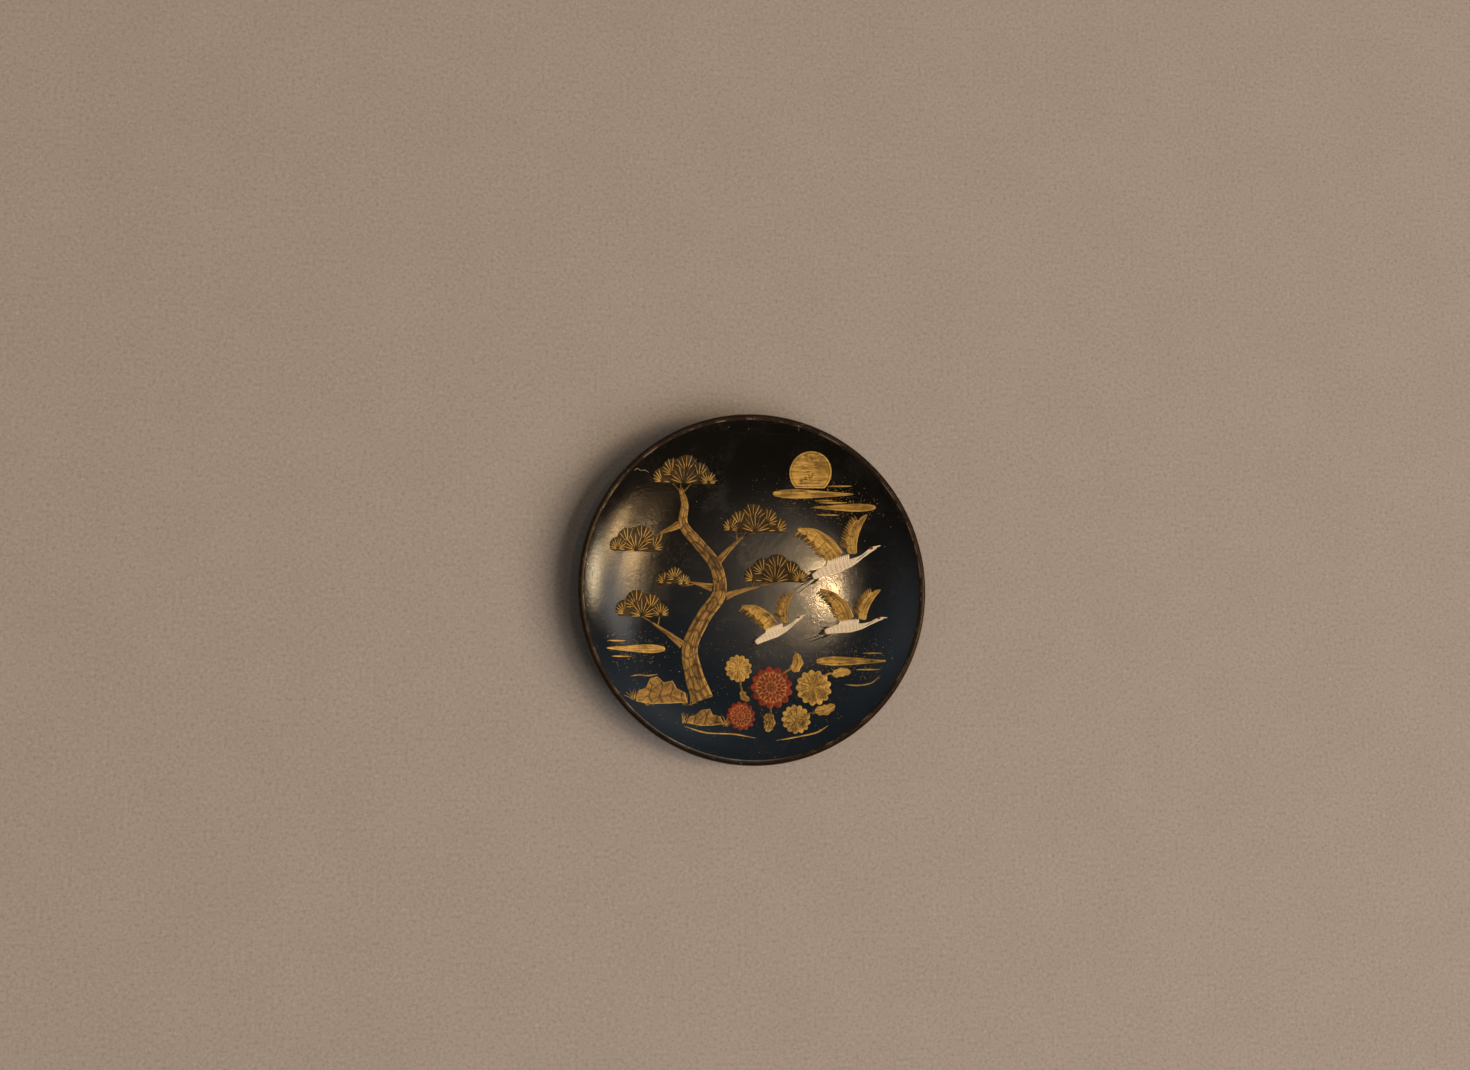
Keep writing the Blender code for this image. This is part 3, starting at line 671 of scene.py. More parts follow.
def paint_back(place, colours):
    """Plain black lacquer with brushed circles, scuffs, and brown wear where the foot meets the table."""
    x, y, z = split(place)
    brushed = place.node("ShaderNodeCombineXYZ", values={0: from_axis(x, y) * 900.0, 1: z * 900.0})
    rings = grain(brushed, 1.0, 3.0, 0.6)
    blotch = grain(place, 48.0, 4.0, 0.6)
    fine = grain(place, 420.0, 4.0, 0.7)
    scuffs = scratches(place, (0.2, 1500.0, 0.69), (1.4, 1800.0, 0.71))
    standing = z.smooth(0.0016, 0.0002) * fine.smooth(0.30, 0.58)
    body = coated(
        blotch.between(colours.back_black, tinted(colours.back_black, 1.9)),
        (scuffs * 0.28, (0.060, 0.048, 0.036)),
        (standing * 0.9, colours.worn_brown),
        (dots(place, 150.0, 0.11, 0.06) * 0.6, (0.14, 0.11, 0.08)),
    )
    return {
        "Base Color": body,
        "Roughness": 0.20 + 0.15 * blotch + 0.12 * scuffs + 0.3 * standing,
        "Normal": bumped(0.5 * rings + 0.4 * blotch + 0.25 * fine - 0.4 * standing, 0.00007),
    }


def brushwork(place):
    """Groove and edge of a raised piece, and the streaks and hairs that a brush leaves along it."""
    brush = kept(place, "brush", "Vector")
    streaks = grain(brush, 1.0, 4.0, 0.62)
    hairs = grain(brush, 3.1, 3.0, 0.6)
    return kept(place, "groove"), kept(place, "edge"), streaks, hairs


def paint_powder(place, colours, bright, dull):
    """Gold powder on raised lacquer: streaked, with a painted highlight of bright gold at its edges, smoked,
    and worn to black in spots.
    """
    groove, edge, streaks, hairs = brushwork(place)
    clouds = grain(place, 62.0, 4.0, 0.6)
    powder = grain(place, 2600.0, 2.0, 0.7)
    rub = grain(place, 190.0, 5.0, 0.72)
    tired = grain(place, 24.0, 2.0).smooth(0.50, 0.70)
    lit = (0.60 * streaks + 0.40 * clouds).smooth(0.41, 0.58)
    worn = (0.6 * rub + 0.4 * hairs + 0.05 * clouds + 0.09 * tired - 0.05 * edge).smooth(0.60, 0.67)
    smoke = grain(place, 48.0, 3.0, 0.6, 0.6).smooth(0.50, 0.70)
    body = coated(
        lit.between(dull, bright),
        (smoke * 0.5, tinted(dull, 0.62)),
        (hairs.smooth(0.54, 0.66) * 0.6, tinted(dull, 0.5)),
        # Bright gold round the edge of every raised piece: a painted highlight
        (edge * 0.8, colours.gold),
        (powder.smooth(0.55, 0.75) * 0.3, tinted(bright, 1.25)),
        (groove * 0.85, tinted(dull, 0.18)),
        (worn * 0.85, tinted(colours.brown_black, 2.2)),
    )
    return {
        "Base Color": body,
        "Metallic": 0.25 * (1.0 - worn) * (1.0 - 0.6 * groove),
        "Roughness": 0.52 - 0.14 * lit + 0.14 * powder - 0.10 * worn,
        "Normal": bumped(0.4 * powder + 0.5 * hairs + 0.3 * streaks - 0.5 * worn, 0.00009),
        "Specular IOR Level": 0.25,
    }


def paint_gold(place, colours):
    return paint_powder(place, colours, colours.gold, colours.dull_gold)


def paint_fresh_gold(place, colours):
    return paint_powder(place, colours, colours.gold, tinted(colours.gold, 0.6))


def paint_shaded_gold(place, colours):
    return paint_powder(place, colours, colours.shade_gold, tinted(colours.shade_gold, 0.4))


def paint_bark(place, colours):
    return paint_powder(place, colours, colours.bark, colours.dull_bark)


def paint_red(place, colours):
    """Red lacquer with a soft gloss, streaked by the brush, gold in its cuts and rubbed at its edges."""
    groove, edge, streaks, hairs = brushwork(place)
    clouds = grain(place, 80.0, 4.0, 0.6)
    worn = (0.7 * grain(place, 210.0, 5.0, 0.7) + 0.3 * hairs + 0.08 * edge).smooth(0.62, 0.70)
    body = coated(
        (0.6 * streaks + 0.4 * clouds).smooth(0.42, 0.60).between(tinted(colours.red, 0.5), colours.red),
        (hairs.smooth(0.54, 0.68) * 0.5, tinted(colours.red, 0.28)),
        (groove * 0.8, tinted(colours.gold, 0.80)),
        (worn * 0.8, tinted(colours.brown_black, 2.5)),
        (dots(place, 900.0, 0.20, 0.10) * 0.8, colours.gold),
    )
    return {
        "Base Color": body,
        "Roughness": 0.34 + 0.16 * clouds + 0.10 * worn,
        "Normal": bumped(0.5 * hairs + 0.3 * clouds - 0.5 * worn, 0.00007),
        "Specular IOR Level": 0.3,
    }


def paint_shell(place, colours):
    """Warm white shell: milky growth bands, a trace of pink and green, and brown in the engraved lines."""
    bands = grain(stretched(place, 0.7, (60.0, 420.0, 60.0)), 1.0, 3.0, 0.55, 0.8)
    drift = grain(place, 45.0, 2.0)
    stain = grain(place, 140.0, 4.0, 0.65)
    body = coated(
        bands.between(tinted(colours.shell, 0.82), tinted(colours.shell, 1.08)),
        (drift.smooth(0.52, 0.72) * 0.22, (0.70, 0.46, 0.36)),
        (drift.smooth(0.48, 0.28) * 0.18, (0.48, 0.56, 0.42)),
        (stain.smooth(0.55, 0.75) * 0.4, (0.30, 0.19, 0.09)),
        (kept(place, "groove") * 0.85, (0.105, 0.060, 0.026)),
    )
    return {
        "Base Color": body,
        "Roughness": 0.24 + 0.16 * bands + 0.15 * stain,
        "Normal": bumped(0.5 * bands + 0.2 * stain, 0.00005),
    }


def paint_ink(place, colours):
    """Thin brown-black drawing, broken where the brush ran dry."""
    dry = grain(place, 330.0, 4.0, 0.7).smooth(0.48, 0.66)
    return {
        "Base Color": (dry * 0.6).between((0.022, 0.013, 0.008), colours.worn_brown),
        "Roughness": 0.32 + 0.2 * dry,
    }


def paint_bared_ground(place, colours):
    """Pale ground that shows in a hairline crack."""
    grit = grain(place, 900.0, 4.0, 0.7)
    return {
        "Base Color": grit.between(colours.worn_brown, (0.300, 0.235, 0.160)),
        "Roughness": 0.6 + 0.3 * grit,
        "Normal": bumped(grit, 0.00008),
    }


def paint_wood(place, colours):
    """Turned wood: growth lines bent by noise, and pores."""
    bent = split(place)[1] + 0.012 * grain(place, 14.0, 3.0)
    rings = (bent * 520.0 + 2.0 * grain(place, 40.0, 2.0)).sine() * 0.5 + 0.5
    pores = grain(stretched(place, 0.0, (60.0, 1500.0, 700.0)), 1.0, 3.0, 0.6)
    body = rings.between(colours.wood, tinted(colours.wood, 0.62))
    return {
        "Base Color": coated(body, (pores.smooth(0.58, 0.72) * 0.7, tinted(colours.wood, 0.35))),
        "Roughness": 0.55 + 0.25 * pores,
        "Normal": bumped(0.5 * rings + pores, 0.00012),
    }


def paint_hemp(place, colours):
    """Plain weave: two sets of threads that pass over and under each other, soaked brown in places."""
    pitch = math.pi / 0.0011
    across, along = ((axis * pitch).sine() for axis in split(place)[:2])
    over = (across * along).smooth(-0.35, 0.35)
    threads = over * across * across + (1.0 - over) * along * along
    slub = grain(place, 260.0, 4.0, 0.65)
    soaked = grain(place, 60.0, 3.0).smooth(0.45, 0.62)
    body = coated(
        threads.between(tinted(colours.hemp, 0.35), colours.hemp),
        (slub * 0.5, tinted(colours.hemp, 0.6)),
        (soaked * 0.6, (0.05, 0.028, 0.014)),
    )
    return {
        "Base Color": body,
        "Roughness": 0.85 - 0.25 * soaked,
        "Normal": bumped(threads + 0.3 * slub, 0.0002),
    }


def paint_clay(place, colours):
    """Clay bound with lacquer: gritty, with rubbing marks."""
    grit = grain(place, 1400.0, 3.0, 0.7)
    marks = scratches(place, (0.6, 1400.0, 0.62))
    body = grain(place, 55.0, 4.0).between(tinted(colours.clay, 0.7), tinted(colours.clay, 1.2))
    return {
        "Base Color": coated(body, (grit.smooth(0.55, 0.8) * 0.5, tinted(colours.clay, 1.7))),
        "Roughness": 0.78 + 0.18 * grit,
        "Normal": bumped(grit - 0.4 * marks, 0.0001),
    }


def paint_floor(place, colours):
    """Pale floor with a faint mottle, clear from below so that it doesn't hide the foot."""
    mottle = grain(place, 14.0, 6.0, 0.7).smooth(0.30, 0.72)
    grit = grain(place, 330.0, 4.0, 0.75)
    body = coated(
        mottle.between(tinted(colours.floor, 0.975), tinted(colours.floor, 1.025)),
        (grit.smooth(0.50, 0.66) * 0.55, tinted(colours.floor, 0.62)),
        (grit.smooth(0.46, 0.32) * 0.55, tinted(colours.floor, 1.40)),
    )
    return {
        "Base Color": body,
        "Roughness": 0.85,
        "Alpha": 1.0 - place.node("ShaderNodeNewGeometry", output="Backfacing"),
        "Specular IOR Level": 0.2,
    }


# Looks: the painter of each, and the slot of the pieces that wear it
LOOKS = {
    "face_lacquer": (paint_face, "face_lacquer"),
    "lip_lacquer": (paint_lip, "lip_lacquer"),
    "back_lacquer": (paint_back, "back_lacquer"),
    "gold": (paint_gold, "gold"),
    "fresh_gold": (paint_fresh_gold, "gold"),
    "shaded_gold": (paint_shaded_gold, "gold"),
    "bark_gold": (paint_bark, "brown_gold"),
    "red_lacquer": (paint_red, "red_lacquer"),
    "shell": (paint_shell, "shell"),
    "ink": (paint_ink, "lip_lacquer"),
    "bared_ground": (paint_bared_ground, "ground"),
    "turned_wood": (paint_wood, None),
    "hemp": (paint_hemp, None),
    "clay_ground": (paint_clay, None),
    "floor": (paint_floor, None),
}
# Solids that have no piece over them, and the look of each
INNER_LAYERS = {
    "wood_core": "turned_wood",
    "rim_cloth": "hemp",
    "base_cloth": "hemp",
    "face_ground": "clay_ground",
    "back_ground": "clay_ground",
}


def finish(look):
    """The material of a look, painted when it is first asked for."""
    name = f"{look}_finish"
    material = bpy.data.materials.get(name)
    if not material:
        material = bpy.data.materials.new(name)
        material.use_nodes = True
        nodes = material.node_tree.nodes
        place = Shade(material.node_tree).node("ShaderNodeTexCoord", output="Object")
        place.feed(nodes["Principled BSDF"], LOOKS[look][0](place, bpy.context.scene.dish_colours))
    return material


def face_height(radius):
    """Height of the face: a parabola for part of its rise, and a sixth power for the turned-up wall."""
    share = radius / FACE_EDGE_R
    return WELL_Z + FACE_RISE * (BOWL_SHARE * share**2 + (1 - BOWL_SHARE) * share**WALL_POWER)


def back_height(radius):
    """Height of the back: the face less a wall that thins evenly from the foot to the lip."""
    wall_at_lip = face_height(BACK_EDGE_R) - BACK_EDGE_Z
    share = (radius - FOOT_OUT_R) / (BACK_EDGE_R - FOOT_OUT_R)
    return face_height(radius) - WALL_AT_FOOT - (wall_at_lip - WALL_AT_FOOT) * share


def on_face(x, y):
    """Height of the rubbed face over (x, y): the turned height plus a sum of long sine waves."""
    sizes = bpy.context.scene.dish_sizes
    heading, length, phase = RUBBING.T
    run = x[..., None] * np.cos(heading) + y[..., None] * np.sin(heading)
    waves = np.sin(math.tau * run / length + phase).sum(axis=-1) / len(RUBBING)
    return face_height(np.hypot(x, y)) + sizes.rubbing_height * waves


def laid(x, y, lift):
    """Points over the face, each lifted off it by its own height."""
    return np.stack([x, y, on_face(x, y) + lift], axis=-1)


def turned(radius, height, angle):
    """Points of a turned surface: a profile of radii and heights carried round the axis."""
    return np.stack([radius * np.cos(angle), radius * np.sin(angle), height + 0 * angle], axis=-1)


def round_trip(steps):
    """Even angles once round, without the last, which is the first again."""
    return np.arange(steps) * math.tau / steps


def there_and_back(start, end, last, steps, steps_back):
    """Even steps from start to end and back to last, and whether each is on the way to the end."""
    run = np.concatenate([np.linspace(start, end, steps), np.linspace(end, last, steps_back)])
    return run, np.arange(len(run)) < steps


def closed_faces(rows, columns, ring):
    """Quads of a grid whose columns run round it; the rows close in a ring, or end in a fan at each pole."""
    index = np.arange(rows * columns).reshape(rows, columns)
    index = np.hstack([index, index[:, :1]])
    if ring:
        index = np.vstack([index, index[:1]])
    corners = [index[:-1, :-1], index[1:, :-1], index[1:, 1:], index[:-1, 1:]]
    quads = np.stack(corners, axis=-1).reshape(-1, 4)
    if ring:
        return quads, np.zeros((0, 3), int)
    first = np.full(columns, rows * columns)
    start_fan = np.stack([first, index[0, :-1], index[0, 1:]], axis=-1)
    end_fan = np.stack([first + 1, index[-1, 1:], index[-1, :-1]], axis=-1)
    return quads, np.vstack([start_fan, end_fan])


def volume_of(points, quads, triangles):
    """Volume inside the faces, which is negative where they point inwards."""
    halves = np.vstack([quads[:, [0, 1, 2]], quads[:, [0, 2, 3]], triangles])
    first, second, third = (points[halves[:, corner]] for corner in range(3))
    return np.einsum("ij,ij->", first, np.cross(second, third)) / 6


def add_piece(name, shape, look, node=None, ring=False, sharp=False):
    """Make one object from a shape, which is one or more grids of points and the values stored on them.

    Grids are (rows, columns, 3) or (count, rows, columns, 3), each closed by itself. At a pole, a fan joins
    the end row to its mean. Brush among the values holds vectors; without it, each grid gets one of its own.
    If a node is given, the solid of that node is hidden.
    """
    grids, stored = shape
    grids = grids[None] if grids.ndim == 3 else grids
    count, rows, columns = grids.shape[:3]
    quads, triangles = closed_faces(rows, columns, ring)
    values = dict(stored)
    brush = values.pop("brush", np.random.default_rng(count).uniform(0, 50, (count, 1, 1, 3)))

    def with_poles(array):
        flat = array.reshape(count, rows * columns, *array.shape[3:])
        if ring:
            return flat
        return np.concatenate([flat, array[:, :1].mean(axis=2), array[:, -1:].mean(axis=2)], axis=1)

    points = with_poles(grids)
    middle = points[0].mean(axis=0)
    if volume_of(points[0] - middle, quads, triangles) < 0:
        quads = quads[:, ::-1]
        triangles = triangles[:, ::-1]
    shift = (np.arange(count) * points.shape[1])[:, None, None]
    all_quads = (quads[None] + shift).reshape(-1, 4)
    all_triangles = (triangles[None] + shift).reshape(-1, 3)
    mesh = bpy.data.meshes.new(name)
    mesh.from_pydata(points.reshape(-1, 3), [], all_quads.tolist() + all_triangles.tolist())
    for key, value in values.items():
        layer = mesh.attributes.new(key, "FLOAT", "POINT")
        layer.data.foreach_set("value", with_poles(np.broadcast_to(value, grids.shape[:3])).reshape(-1))
    layer = mesh.attributes.new("brush", "FLOAT_VECTOR", "POINT")
    layer.data.foreach_set("vector", with_poles(np.broadcast_to(brush, grids.shape)).reshape(-1))
    mesh.materials.append(finish(look))
    mesh.shade_smooth()
    if sharp:
        mesh.set_sharp_from_angle(angle=SHARP_ANGLE)
    obj = bpy.data.objects.new(name, mesh)
    bpy.context.scene.collection.objects.link(obj)
    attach(obj, BODY)
    if node:
        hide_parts(node)


def smooth_path(points, count):
    """Points at even steps along a Catmull-Rom curve through given points."""
    through = np.asarray(points, float)
    through = np.vstack([2 * through[0] - through[1], through, 2 * through[-1] - through[-2]])
    spans = len(through) - 3
    place = np.linspace(0, spans, count)
    span = np.minimum(place.astype(int), spans - 1)
    u = (place - span)[:, None]
    before, start, end, after = (through[span + k] for k in range(4))
    slope = end - before
    bend = 2 * before - 5 * start + 4 * end - after
    twist = 3 * start - before - 3 * end + after
    return start + 0.5 * (slope * u + bend * u**2 + twist * u**3)


def forward_along(path):
    """The way ahead at each point of a path, as a vector of length 1."""
    forward = np.gradient(path, axis=0)
    return forward / np.linalg.norm(forward, axis=1)[:, None]


def widths_along(half_widths, along):
    """Half widths drawn between the given ones."""
    return np.interp(along, np.linspace(0, 1, len(half_widths)), half_widths)


def s_curve(value, low, high):
    """From 0 at low to 1 at high, with level ends."""
    share = np.clip((value - low) / (high - low), 0, 1)
    return share * share * (3 - 2 * share)


def line_at(value, width):
    """1 where a value is a whole number, falling to 0 at a width from it."""
    return np.clip(1 - np.abs(value - np.round(value)) / width, 0, 1)


def bell(value, middle, width):
    """A bell curve: 1 at the middle, falling off with the square of the distance in widths."""
    return np.exp(-(((value - middle) / width) ** 2))


def raised(x, y, lift, relief, groove, edge, brush, axis, pick):
    """A shape closed under the face: points on top, picked ones again below, and what is stored on them."""
    under = laid(x[pick], y[pick], np.full(x[pick].shape, -FOOTING * relief))
    below = np.zeros(x[pick].shape)
    stored = {
        "groove": np.concatenate([groove, below], axis=axis),
        "edge": np.concatenate([np.broadcast_to(edge, x.shape), below], axis=axis),
        "brush": np.concatenate([brush, brush[pick]], axis=axis),
    }
    return np.concatenate([laid(x, y, lift), under], axis=axis), stored


def ribbon(path, half_widths, stations, across, relief, cut=None, round_ends=0.0, scallops=0):
    """The shape of a raised band along a Catmull-Rom curve.

    Its half width is drawn between the given ones, and its right edge may be scalloped. Its section is nearly
    level on top and falls to the face at both edges, as the square root of one less the eighth power of the
    distance from the middle. A cut takes a groove of 0 to 1 from the distance along and across.
    """
    along = np.linspace(0, 1, stations)
    middle = smooth_path(path, stations) * PICTURE_RADIUS
    width = widths_along(half_widths, along) * PICTURE_RADIUS
    from_end = np.minimum(along, 1 - along)
    if round_ends:
        width = width * np.sqrt(np.clip(1 - (1 - np.minimum(from_end / round_ends, 1)) ** 2, 0.01, 1))
    forward = forward_along(middle)
    side = np.linspace(-1, 1, across)
    scallop = 1 + WING_SCALLOP_DEPTH * np.abs(np.sin(math.pi * scallops * along))
    reach = np.where(side < 0, side * scallop[:, None], side) * width[:, None]
    x = middle[:, :1] - forward[:, 1:] * reach
    y = middle[:, 1:] + forward[:, :1] * reach
    groove = cut(along[:, None], side[None, :]) if cut else np.zeros(x.shape)
    crown = np.sqrt(1 - side**8) * s_curve(from_end, -0.004, 0.02)[:, None]
    lift = relief * crown * (1 - GROOVE_DEPTH * groove)
    run = np.cumsum(np.hypot(*np.gradient(middle, axis=0).T))[:, None] + 0 * x
    own = 0 * x + BRUSH_APART * middle.sum()
    brush = np.stack([run * BRUSH_LENGTHWAYS, reach * BRUSH_ACROSS, own], axis=-1)
    return raised(x, y, lift, relief, groove, np.abs(side) ** 8, brush, 1, np.index_exp[:, ::-2])


def pad(centre, outline, rings, relief, form=None, level=False):
    """The shape of a raised pad.

    Rays run from the centre to each point of the outline. The top is nearly level and falls to the face at
    the outline, as the square root of one less the eighth power of the share of the ray. A form takes that
    share, the ray's angle and the place, and gives a height and a groove. The brush runs along the rays, or
    level.
    """
    share = np.linspace(0.015, 1, rings)[:, None]
    x = (centre[0] + share * outline[:, 0]) * PICTURE_RADIUS
    y = (centre[1] + share * outline[:, 1]) * PICTURE_RADIUS
    height, groove = np.ones(x.shape), np.zeros(x.shape)
    if form:
        height, groove = form(share, np.arctan2(outline[:, 1], outline[:, 0])[None, :], x, y)
    lift = relief * np.sqrt(1 - share**8) * height
    if level:
        brush = np.stack([x * BRUSH_LENGTHWAYS, y * BRUSH_ACROSS, 0 * x], axis=-1)
    else:
        around = outline / np.linalg.norm(outline, axis=1)[:, None]
        reach = np.hypot(x - centre[0] * PICTURE_RADIUS, y - centre[1] * PICTURE_RADIUS)
        spread = 0.6 * BRUSH_ACROSS * reach.max() + 0 * reach
        own = spread * around[:, 1] + BRUSH_APART * x.mean()
        brush = np.stack([reach * BRUSH_LENGTHWAYS, spread * around[:, 0], own], axis=-1)
    return raised(x, y, lift, relief, groove, share**14, brush, 0, np.index_exp[::-4])


def strokes(start, heading, length, half_width, height, bend=0.0, lift=0.0):
    """The shape of thin tapered brush strokes that lie on the face.

    A stroke leaves its start at a heading that turns evenly by its bend. All arguments are arrays or numbers.
    """
    given = (heading, length, half_width, height, bend, lift)
    columns = (np.broadcast_to(value, len(start)).astype(float)[:, None] for value in given)
    heading, length, half_width, height, bend, lift = columns
    way = heading + bend * STROKE_RUN / 2
    x = start[:, :1] + length * STROKE_RUN * np.cos(way)
    y = start[:, 1:] + length * STROKE_RUN * np.sin(way)
    facing = heading + bend * STROKE_RUN
    reach = (half_width * STROKE_TAPER)[..., None] * STROKE_SIDE
    px = x[..., None] - np.sin(facing)[..., None] * reach
    py = y[..., None] + np.cos(facing)[..., None] * reach
    return laid(px, py, lift[..., None] + (height * STROKE_TAPER)[..., None] * STROKE_UP), {}


def round_offsets(reach):
    """Offsets at even angles, each at its own reach."""
    angle = round_trip(len(reach))
    return np.stack([reach * np.cos(angle), reach * np.sin(angle)], axis=1)


def needle_outline(fans, facing, steps):
    """Offsets round a group of fans: as far as the farthest fan reaches, cut off level underneath."""
    angle = round_trip(steps)[:, None]
    x, y, radius = np.array(fans).T
    ahead = facing * x * np.cos(angle) + y * np.sin(angle)
    aside = facing * x * np.sin(angle) - y * np.cos(angle)
    met = np.abs(aside) < radius
    reach = np.where(met, ahead + np.sqrt(np.maximum(radius**2 - aside**2, 0)), 0).max(axis=1)
    fall = np.maximum(-reach * np.sin(angle[:, 0]), NEEDLE_UNDERSIDE)
    return round_offsets(reach * NEEDLE_UNDERSIDE / fall)


def flower_outline(radius, steps_a_petal):
    """Offsets of a flower: a circle that swells with the size of a sine at every petal."""
    angle = round_trip(PETALS * steps_a_petal)
    return round_offsets(radius * (1 + PETAL_NOTCH * (np.abs(np.sin(PETALS * angle / 2)) - 0.5)))


def cornered_outline(corners, steps_an_edge):
    """Offsets at even steps along straight edges from corner to corner."""
    place = np.arange(len(corners) * steps_an_edge) / steps_an_edge
    whole = np.array((*corners, corners[0]))
    return np.stack([np.interp(place, np.arange(len(whole)), column) for column in whole.T], axis=1)


def bark_cut(along, side):
    """Grooves between plates of bark: rows along the trunk, every other row moved over by half a plate."""
    row = along * 22 + 0.18 * np.sin(side * 3.1 + along * 40)
    plate = side * 1.6 + 0.5 * (np.floor(row) % 2) + 0.12 * np.sin(along * 90)
    return np.maximum(line_at(row, 0.17), line_at(plate, 0.15) * (np.abs(side) < 0.92))


def twig_cut(along, side):
    """Two long wavering grooves."""
    return line_at(side * 1.5 + 0.5 + 0.2 * np.sin(along * 14), 0.2) * (np.abs(side) < 0.9)


def mist_cut(along, side):
    """Three level lines that fade towards the ends."""
    fade = s_curve(np.minimum(along, 1 - along), 0.06, 0.2)
    return 0.8 * line_at(side * 2, 0.16) * (np.abs(side) < 0.8) * fade


def wing_cut(along, side):
    """Feather lines: five long feathers with quills behind, and rows of small feathers before them."""
    feather = line_at(along * WING_SCALLOPS, 0.07) * s_curve(side, 0.15, -0.05)
    quill = 0.6 * line_at(along * WING_SCALLOPS + 0.5, 0.03) * s_curve(side, 0.05, -0.1) * (side > -0.9)
    row = side * 4
    small = line_at(along * 16 + 0.5 * (np.floor(row) % 2), 0.11)
    scales = np.maximum(small, line_at(row, 0.13)) * s_curve(side, 0.1, 0.2) * (side < 0.93)
    return np.maximum(np.maximum(feather, quill), 0.7 * scales)


def body_cut(along, side):
    """Rows of rounded scales on a bird's body, each row moved over by half a scale, none on neck and head."""
    row = along * 20
    bow = np.abs(np.sin(math.pi * (side * 2.2 + 0.5 * (np.floor(row) % 2))))
    return 0.9 * line_at(row + 0.45 * bow, 0.17) * s_curve(along, 0.62, 0.5) * (np.abs(side) < 0.9)


def leaf_cut(along, side):
    """A midrib, and side veins that run forward from it."""
    midrib = line_at(side * 0.5, 0.045)
    veins = line_at((along - 0.22 * np.abs(side)) * 7, 0.09) * (np.abs(side) < 0.85)
    return np.maximum(midrib, 0.8 * veins)


def petal_form(share, angle, x, y):
    """Rings of petals that overlap like tiles.

    A ring ends at a scalloped edge, and each step inwards over an edge climbs a layer. A petal is a shallow
    ridge between two grooves, and its number is the angle times the number of petals over a full turn.
    """
    height = np.full(np.broadcast(share, angle).shape, 0.30)
    groove = np.zeros(height.shape)
    for edge, turn in PETAL_RINGS:
        petal = angle * PETALS / math.tau + turn
        rim = edge * (0.90 + 0.10 * np.abs(np.sin(math.pi * petal)))
        inside = s_curve(share, rim, rim - 0.05)
        height = height + 0.17 * inside
        shown = inside * s_curve(share, edge - 0.40, edge - 0.20)
        groove = np.maximum(groove * (1 - inside), shown * line_at(petal, 0.12))
        groove = np.maximum(groove, 0.6 * bell(share - rim, 0.01, 0.018) * (edge < 1))
    boss = s_curve(share, 0.13, 0.09)
    return np.clip(height * (1 - 0.3 * groove) + 0.1 * boss, 0, 1.15), groove * (1 - boss)


def rock_form(share, angle, x, y):
    """Broken faces of a rock: folded sine waves, cut with dark lines where they fold."""
    first = (x * 0.9 + y * 0.35) / 0.0085 + 0.35 * np.sin(y / 0.004)
    second = (x * 0.30 - y * 0.95) / 0.0115 + 0.4 * np.sin(x / 0.007)
    groove = np.maximum(line_at(first, 0.12), 0.7 * line_at(second, 0.09)) * s_curve(share, 0.98, 0.9)
    fold = 0.5 * np.abs(np.sin(math.pi * first)) + 0.5 * np.abs(np.sin(math.pi * second))
    return 0.55 + 0.45 * fold - 0.2 * groove, groove


def sun_form(share, angle, x, y):
    """A low dome with a thin line cut inside its edge."""
    groove = bell(share, 0.90, 0.018) + 0 * angle
    return 0.80 + 0.20 * (1 - share**2) - 0.15 * groove, groove


def needle_form(centre, fans, facing):
    """The form of a bed of needles: low domes, each a step above the one behind, with dark lines round them.

    A dome's height falls with the square of the distance from its fan's middle, and the foremost fan shows.
    """

    def form(share, angle, x, y):
        height = np.full(x.shape, 0.42)
        groove = np.full(x.shape, 0.25)
        for step, (fan_x, fan_y, radius) in enumerate(fans):
            off_x = x / PICTURE_RADIUS - centre[0] - facing * fan_x
            off_y = y / PICTURE_RADIUS - centre[1] - fan_y
            away = np.hypot(off_x, off_y) / radius
            inside = s_curve(away, 1.0, 0.94)
            dome = DOME_HEIGHT + DOME_STEP * step + 0.14 * np.clip(1 - away**2, 0, 1)
            height = np.where(inside > 0.5, dome, height)
            groove = np.maximum(groove * (1 - inside), 0.9 * bell(away, 0.985, 0.03))
        return height - 0.06 * groove, groove * (share < 0.97)

    return form


def crane_place(crane, points):
    """Points of a bird's own drawing, made to its size, turned and moved to its place in the picture."""
    x, y, size, turn = crane
    across, up = np.asarray(points, float).T * size
    right = x + across * math.cos(turn) - up * math.sin(turn)
    return np.stack([right, y + across * math.sin(turn) + up * math.cos(turn)], axis=1)


class DISH_OT_face(bpy.types.Operator):
    """Lay the polished lacquer of the hollow face, with its hairline crack and ridges"""

    bl_idname = "dish.face"
    bl_label = "Face"

    def execute(self, context):
        around, over, under = FACE_STEPS
        edge = FACE_EDGE_R - JOIN
        top_r = (edge * (1 - (1 - np.linspace(0.004, 1, over)) ** 1.35))[:, None]
        under_r = (edge * np.linspace(1, 0.01, under))[:, None]
        angle = round_trip(around)[None, :]
        top = turned(top_r, face_height(top_r), angle)
        top[..., 2] = on_face(top[..., 0], top[..., 1])
        hidden = turned(under_r, face_height(under_r) - LACQUER, angle)
        skin = (np.concatenate([top, hidden]), {})
        add_piece("face_skin", skin, "face_lacquer", "face_lacquer", sharp=True)
        add_piece("hairline_crack", ribbon(HAIRLINE, *LINES["hairline"]), "bared_ground")
        for number, path in enumerate(RIDGES, 1):
            add_piece(f"ridge_{number}", ribbon(path, *LINES["ridge"]), "face_lacquer")
        return {"FINISHED"}


